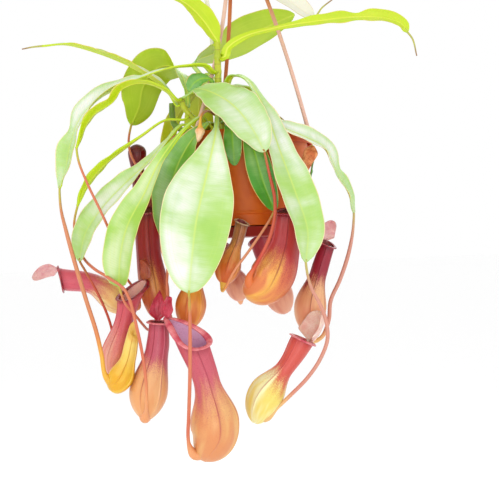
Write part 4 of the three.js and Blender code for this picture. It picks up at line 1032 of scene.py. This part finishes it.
def make_pitcher(node, p, start, direction):
    """One pitcher with its lip, lid and tendril, which starts on the leaf's tip or the stem."""
    curve = Curve(world(p["axis"]))
    radius_at = pitcher_radius(p)
    mouth, neck, dip, wing, flare, cord = [p[key] * MM for key in ("mouth", "neck", "dip", "wing", "bulb", "cord")]
    rise = p.get("rise", p["mouth"] * 0.9) * MM
    hint = vec(*p["front"])
    near_rib = np.exp(-((np.abs(ANGLES) - WING_ANGLE) / WING_REACH) ** 2)
    body = Body()
    materials = [SKINS[p["skin"]]]

    def stand_at(s):
        """The centre of a cross-section, and the ways along the axis, to the front and to the left."""
        tangent = curve.tangent(s)
        front = unit(hint - tangent * hint.dot(tangent))
        return curve.at(s), tangent, front, np.cross(tangent, front)

    def rise_at(s):
        return rise * float(smooth((s - 0.55) / 0.45))

    def add_rings(sections, slot, ends):
        """Sections are (share, radius, shift along the axis, rib height, rise of the back)."""
        rows = []
        for s, radius, shift, rib, lift in sections:
            ring = ring_points(stand_at(s), ANGLES, radius + near_rib * rib, shift, lift, neck, dip,
                               float(smooth((s - 0.78) / 0.22)))
            rows.append((ring, columns(np.cos(ANGLES), np.sin(ANGLES), s), columns(ANGLES, s * curve.length, radius)))
        body.rings(rows, slot=slot, ends=ends)

    outer = [(s, radius_at(s), 0, wing * float(smooth(s / 0.3)) * (1 - 0.6 * s), rise_at(s))
             for s in np.linspace(0, 1, PITCHER_RINGS)]
    if p["closed"]:
        outer += [(1.0, mouth * math.cos(a), mouth * p["dome"] * math.sin(a), 0, rise)
                  for a in np.linspace(0.15, math.pi / 2 - 0.12, DOME_RINGS)]
        add_rings(outer, 0, (True, True))
    else:
        add_rings(outer, 0, (True, False))
        add_rings([(s, radius_at(s) - PITCHER_WALL * MM, 0, 0, rise_at(s))
                   for s in np.linspace(1, PITCHER_DEPTH, INSIDE_RINGS)], 1, (False, True))
        roll = p.get("roll", float(np.clip(p["mouth"] * 0.22, 1.5, 3.2))) * MM
        add_lip(body, stand_at(1.0), mouth, rise, neck, dip, roll, 2)
        materials += [INSIDES[p["inside"]], LIPS[p["lip"]]]
        if "lid" in p:
            add_lid(body, stand_at(1.0), mouth + neck * 0.6, rise, {**LID, **p["lid"]}, 3)
            materials.append(LIDS[p["lid"]["skin"]])
    route = [start, start + direction * TENDRIL_LEAD * MM, *world(p["tendril"]), curve.at(TENDRIL_SEAT)]
    reach = Curve(route).length

    def string(s):
        left_over = (1 - s) * reach
        return lerp(TIP_HALF * MM, cord, smooth(s * 3)) + 0.42 * flare * max(0.0, 1 - left_over / flare / 1.5) ** 1.6

    add_tube(body, route, string, TENDRIL_SIDES, len(materials))
    body.dress(node, materials + [TENDRILS[p["string"]]])


def add_lip(body, stand, mouth, rise, neck, dip, roll, slot):
    """The rolled lip follows the mouth's edge all the way round, narrower at the neck."""
    _, tangent, front, left = stand
    turns = turns_round(LIP_TURNS, -math.pi)
    section = turns_round(LIP_SIDES)
    spots = ring_points(stand, turns, mouth, 0, rise, neck, dip)
    rows = []
    for i, t in enumerate(turns):
        along = unit(spots[(i + 1) % LIP_TURNS] - spots[i - 1])
        outward = front * math.cos(t) + left * math.sin(t)
        outward = unit(outward - along * outward.dot(along))
        upward = unit(np.cross(outward, along))
        upward = upward if upward.dot(tangent) > 0 else -upward
        wide = roll * (1 - 0.35 * float(smooth((abs(t) - 2.2) / 0.9)))
        ribbed = wide * (1 + 0.05 * math.sin(LIP_RIBS * t))
        x = ribbed * np.cos(section)
        y = 0.42 * ribbed * np.sin(section) - 0.28 * np.maximum(0, x) - 0.25 * np.maximum(0, -x)
        middle = spots[i] + outward * wide * 0.35 + upward * wide * 0.05
        rows.append((middle + np.outer(x, outward) + np.outer(y, upward),
                     columns(np.full(LIP_SIDES, math.cos(t)), math.sin(t), 1), columns(t, section * 0.01, wide)))
    body.rings(rows + rows[:1], slot=slot)


def add_lid(body, stand, mouth, rise, lid, slot):
    """The lid: an ovate domed blade on a short neck, with a keel beneath."""
    centre, tangent, front, left = stand
    turn, tip = math.radians(lid["open"]), math.radians(lid["turn"])
    length, half = lid["length"] * MM, lid["half"] * MM
    along = front * math.cos(turn) + tangent * math.sin(turn)
    upward = tangent * math.cos(turn) - front * math.sin(turn)
    left, upward = left * math.cos(tip) + upward * math.sin(tip), upward * math.cos(tip) - left * math.sin(tip)
    root = centre - front * (mouth + 0.4 * MM) + tangent * (rise - 0.8 * MM)
    u = LID_COLUMNS
    thick = LID_HALF_THICK * MM
    rows = []
    for s in np.linspace(0, 1, LID_STEPS):
        if lid["pointed"]:
            taper = 1 - (max(0.0, s - 0.22) / 0.8) ** 1.4
        else:
            taper = math.sqrt(max(0.02, 1 - (max(0.0, s - 0.38) / 0.63) ** 2))
        width = lerp(1.8 * MM, half, float(smooth(s * 3.6))) * taper
        dome = length * 0.14 * math.sin(math.pi * s)
        curl = -u * u * half * 0.28 - lid["fold"] * np.abs(u) * width + 0.35 * MM * np.sin(9 * s + 3 * u)
        keel = np.exp(-(u * width / (0.9 * MM)) ** 2) * 0.7 * MM * math.sin(math.pi * s * 1.2) if s < 0.83 else 0.0
        rows.append(blade_row(root + along * length * s + upward * dome, left, upward, u, width, curl + thick,
                              curl - thick - keel, s, length))
    body.rings(rows, slot=slot, ends=(True, True))


# The pot, saucer, soil and hanger


def turn_profile(body, profile, sides):
    """A profile of (radius, height) turned round the pot's axis, in one loop."""
    points = np.array([*profile, profile[0]], float)
    steps = np.linalg.norm(np.diff(points, axis=0, prepend=points[:1]), axis=1)
    angles = turns_round(sides)
    x, y = np.cos(angles), np.sin(angles)
    body.rings([(world(columns(r * x, r * y, z)), columns(x, y, z / 100), columns(angles, run * MM, r * MM))
                for (r, z), run in zip(points, np.cumsum(steps))])


def rounded(points, radius, steps=5):
    """A profile whose corners are arcs; a corner sharper than its sides allow gets a smaller one."""
    p = [np.array(q, float) for q in points]
    out = []
    for i, corner in enumerate(p):
        a, b = p[i - 1] - corner, p[(i + 1) % len(p)] - corner
        la, lb = np.linalg.norm(a), np.linalg.norm(b)
        cut = min(radius, la * 0.45, lb * 0.45)
        start, end = corner + a / la * cut, corner + b / lb * cut
        for t in np.linspace(0, 1, steps):
            out.append((1 - t) ** 2 * start + 2 * t * (1 - t) * corner + t ** 2 * end)
    return out


def wall_radius(z):
    return lerp(NECK_RADIUS, SEAM_RADIUS, (z - NECK_HEIGHT) / (SEAM_HEIGHT - NECK_HEIGHT))


def make_pot():
    band, seam = RIM_RADIUS - RIM_WALL, SEAM_RADIUS + SEAM_PROUD
    outline = [
        (PEG_HOLE, POT_BASE), (BASE_RADIUS, POT_BASE), (BASE_RADIUS + 1, SEAM_HEIGHT - 2.6), (seam, SEAM_HEIGHT - 2),
        (seam, SEAM_HEIGHT - 0.4), (wall_radius(WALL_FOOT), WALL_FOOT), (NECK_RADIUS, RIM_UNDERSIDE),
        (band, RIM_UNDERSIDE), (band, -RIM_DEPTH), (RIM_RADIUS - 0.1, -RIM_DEPTH), (RIM_RADIUS, 0),
        (NECK_RADIUS - WALL, 0), (SEAM_RADIUS - WALL, SEAM_HEIGHT), (BASE_RADIUS - WALL, POT_FLOOR),
        (PEG_HOLE, POT_FLOOR),
    ]
    body = Body()
    turn_profile(body, rounded(outline, POT_CORNER), POT_SIDES)
    body.dress("pot", [PLASTICS["pot_plastic"]])


def make_saucer():
    floor, low, high = SAUCER_BASE + SAUCER_WALL, POT_BASE - PLAY, POT_FLOOR + PLAY
    outline = [
        (AXIS, SAUCER_BASE), (SAUCER_FOOT_RADIUS, SAUCER_BASE), (SAUCER_RIM_RADIUS, SAUCER_RIM_HEIGHT),
        (SAUCER_RIM_RADIUS - SAUCER_WALL, SAUCER_RIM_HEIGHT), (SAUCER_FOOT_RADIUS - 1, floor), (PEG_SHOULDER, floor),
        (PEG_SHOULDER, low), (PEG_NECK, low), (PEG_NECK, high), (PEG_BARB, high),
        (PEG_TIP, POT_FLOOR + PEG_HEIGHT), (AXIS, POT_FLOOR + PEG_HEIGHT),
    ]
    body = Body()
    turn_profile(body, rounded(outline, SAUCER_CORNER), SAUCER_SIDES)
    body.dress("saucer", [PLASTICS["saucer_plastic"]])


def make_soil():
    """A crowned bed with lumps, and chips of bark and tufts of moss that sit on it."""
    body = Body()
    angles = turns_round(SOIL_SIDES)
    edge = wall_radius(SOIL_TOP - 3) - WALL - 0.5
    waves = rng.uniform(0, 2 * math.pi, (9, 3))
    counts = rng.integers(2, 14, 9)

    def bumps(x, y):
        total = 0.0
        for (a, b, c), n in zip(waves, counts):
            total = total + np.sin(n * x / LUMP_SPACING + a) * np.sin(n * y / LUMP_SPACING + b + 0.3 * c)
        return total * SOIL_LUMP

    def height(x, y):
        r = np.hypot(x, y)
        fall = SOIL_FALL * smooth((r - FALL_STARTS) / FALL_REACH)
        return SOIL_TOP + SOIL_CROWN * (1 - (r / edge) ** 2) - fall + bumps(x, y)

    levels = [(BASE_RADIUS - WALL - 1, POT_FLOOR + PLAY), (wall_radius(SEAM_HEIGHT) - WALL - 1.2, SEAM_HEIGHT)]
    levels += [(edge * t, None) for t in np.linspace(1, 0.02, SOIL_RINGS)]
    rows = []
    for r, z in levels:
        x, y = r * np.cos(angles), r * np.sin(angles)
        rows.append((world(columns(x, y, height(x, y) if z is None else z)),
                     columns(np.cos(angles), np.sin(angles), r / edge), columns(angles, r * MM, r * MM)))
    body.rings(rows, ends=(True, True))
    for count, inner, outer, lengths, thicks, slot in ((BARK_CHIPS, 0, 0.9, (2.2, 6.5), (0.9, 2.2), 1),
                                                       (MOSS_TUFTS, 0.1, 0.92, (1.5, 3.2), (1.4, 2.6), 2)):
        for _ in range(count):
            r, a = edge * math.sqrt(rng.uniform(inner, outer)), rng.uniform(0, 2 * math.pi)
            x, y = r * math.cos(a), r * math.sin(a)
            add_chip(body, (x, y, height(x, y)), rng.uniform(*lengths), rng.uniform(*thicks), slot)
    bark = grainy_material("bark_chips", 0.85, (180.0, 4.0, 0.6), (0.3, 0.72), (74, 47, 30), (150, 104, 68), 0.6)
    moss = grainy_material("moss", 0.9, (420.0, 4.0, 0.6), (0.35, 0.68), (74, 96, 34), (158, 176, 82), 0.7)
    body.dress("soil", [soil_material(), bark, moss])


def add_chip(body, place, length, thick, slot, sides=7):
    """An uneven lump of bark or moss, turned any way on the bed."""
    turn, tilt = rng.uniform(0, 2 * math.pi), rng.uniform(-0.5, 0.5)
    x_dir = vec(math.cos(turn), math.sin(turn), tilt * 0.4)
    y_dir = vec(-math.sin(turn), math.cos(turn), rng.uniform(-0.3, 0.3))
    z_dir = unit(np.cross(x_dir, y_dir))
    blank = np.zeros((sides, 3))
    rows = []
    for t in (-1, -0.75, 0, 0.7, 1):
        wide = length * 0.42 * math.sqrt(max(0.12, 1 - t * t))
        ring = []
        for a in turns_round(sides):
            wob = rng.uniform(0.75, 1.2)
            ring.append(vec(*place) + x_dir * t * length * 0.6 + y_dir * math.cos(a) * wide * wob
                        + z_dir * math.sin(a) * thick * 0.6 * wob)
        rows.append((world(ring), blank, blank))
    body.rings(rows, slot=slot, ends=(True, True))


def make_hook():
    middle = HOOK_WIRE - HOOK_BEND
    arc = [[HOOK_BEND * math.cos(math.radians(a)), 0, middle + HOOK_BEND * math.sin(math.radians(a))]
           for a in range(205, -51, -15)]
    route = np.array(arc + [[4, 0, -30], [0, 0, -35], [0, 0, HUB_TOP - 2]], float) * MM
    body = Body()
    add_tube(body, route, lambda s: HOOK_WIRE * MM * math.sqrt(min(1.0, 0.25 + s * 40)), 20, 0, step=1.0 * MM)
    hub = rounded([(AXIS, HUB_BASE), (HUB_RADIUS, HUB_BASE), (HUB_RADIUS, HUB_TOP - 2), (5, HUB_TOP),
                   (AXIS, HUB_TOP)], HUB_CORNER)
    turn_profile(body, [(r, z + RIM_DROP) for r, z in hub], HUB_SIDES)
    body.dress("hook", [PLASTICS["hanger_plastic"]])


def make_strand(node, angle, lean, plastic):
    """A strand bows a little from the hub to its foot, which goes through a slot in the rim."""
    turn = math.radians(angle)
    spin = np.array([[math.cos(turn), -math.sin(turn), 0], [math.sin(turn), math.cos(turn), 0], [0, 0, 1]])
    top = vec(HUB_RADIUS - 3, 0, HUB_BASE - 0.35)
    foot = vec(SLOT_CIRCLE, 0, 2 - RIM_DROP)
    aside = np.linalg.inv(spin) @ vec(*lean, 0)
    points = [spin @ (lerp(top, foot, t) + aside * math.sin(math.pi * t)) * MM for t in np.linspace(0, 1, 6)]

    def radius(s):
        return (STRAND_RADIUS + 0.4 * math.exp(-s * 40) + 0.5 * math.exp(-(1 - s) * 60)) * MM

    body = Body()
    add_tube(body, points, radius, 16, 0, step=2.5 * MM)
    for wide, low, high in ((SLOT_WIDTH - 0.7, -3.6, 4.2), (SLOT_WIDTH + 2.4, -4.7, -2.4)):
        add_block(body, spin, SLOT_CIRCLE, (SLOT_DEPTH - 0.7) / 2, wide / 2, low, high)
    body.dress(node, [PLASTICS[plastic]])


def add_block(body, spin, place, deep, wide, low, high):
    """A small block with softened ends, for a strand's foot."""
    corners = rounded([(-deep, -wide), (deep, -wide), (deep, wide), (-deep, wide)], 0.4, 4)
    blank = np.zeros((len(corners), 3))
    rows = []
    for z, shrink in ((low, 0.8), (low + 0.4, 1.0), (high - 0.4, 1.0), (high, 0.8)):
        ring = [spin @ vec(place + x * shrink, y * shrink, z - RIM_DROP) * MM for x, y in corners]
        rows.append((ring, blank, blank))
    body.rings(rows, ends=(True, True))


# Build everything. The soil and then the leaves draw random numbers, in this order.

for name, row in STRANDS.items():
    make_strand(name, *row)
make_hook()
make_pot()
make_saucer()
make_soil()
for name, stem in STEMS.items():
    make_stem(name, stem)
tips = {name: make_leaf(name, {**LEAF, **leaf}) for name, leaf in LEAVES.items()}
for name, pitcher in PITCHERS.items():
    tip, heading = tips[pitcher["leaf"]]
    make_pitcher(name, {**PITCHER, **pitcher}, tip - heading * TENDRIL_LAP * MM, heading)
make_pitcher("bud", {**PITCHER, **BUD}, *seat_on_stem(STEMS["main_stem"], BUD_SEAT, BUD["tendril"][0]))


# The studio

def make_floor():
    mesh = bpy.data.meshes.new("floor")
    corners = ((-1, -1), (1, -1), (1, 1), (-1, 1))
    mesh.from_pydata([(x * FLOOR_REACH, y * FLOOR_REACH, FLOOR_HEIGHT * MM) for x, y in corners], [], [(0, 1, 2, 3)])
    floor = bpy.data.objects.new("floor", mesh)
    bpy.context.scene.collection.objects.link(floor)
    pale = Shader("pale_floor", 0.8)
    pale.inputs["Base Color"].default_value = (0.99, 0.99, 0.99, 1.0)
    mesh.materials.append(pale.material)


def make_light(name, place, size, power, colour):
    lamp = bpy.data.lights.new(name, "AREA")
    lamp.shape = "DISK"
    lamp.size = size
    lamp.energy = power
    lamp.color = colour
    holder = bpy.data.objects.new(name, lamp)
    holder.location = place
    holder.rotation_euler = (Vector(MIDDLE) - Vector(place)).to_track_quat("-Z", "Y").to_euler()
    bpy.context.scene.collection.objects.link(holder)


def make_camera():
    lens = bpy.data.cameras.new("camera")
    lens.lens = CAMERA_LENS
    lens.sensor_width = 36.0
    lens.sensor_fit = "AUTO"
    lens.clip_end = 100.0
    camera = bpy.data.objects.new("camera", lens)
    camera.location = [v * MM for v in CAMERA_PLACE]
    turned = Matrix.Rotation(math.radians(90), 3, "X") @ Matrix.Rotation(math.radians(CAMERA_TURN), 3, "Z")
    camera.rotation_euler = turned.to_euler()
    bpy.context.scene.collection.objects.link(camera)
    bpy.context.scene.camera = camera


make_floor()
make_camera()
for name, light in LIGHTS.items():
    make_light(name, **light)

sky = bpy.data.worlds.new("white_room")
sky.use_nodes = True
sky.node_tree.nodes["Background"].inputs["Color"].default_value = (*WHITE, 1.0)
sky.node_tree.nodes["Background"].inputs["Strength"].default_value = 1.0
bpy.context.scene.world = sky
bpy.context.scene.view_settings.view_transform = "Standard"
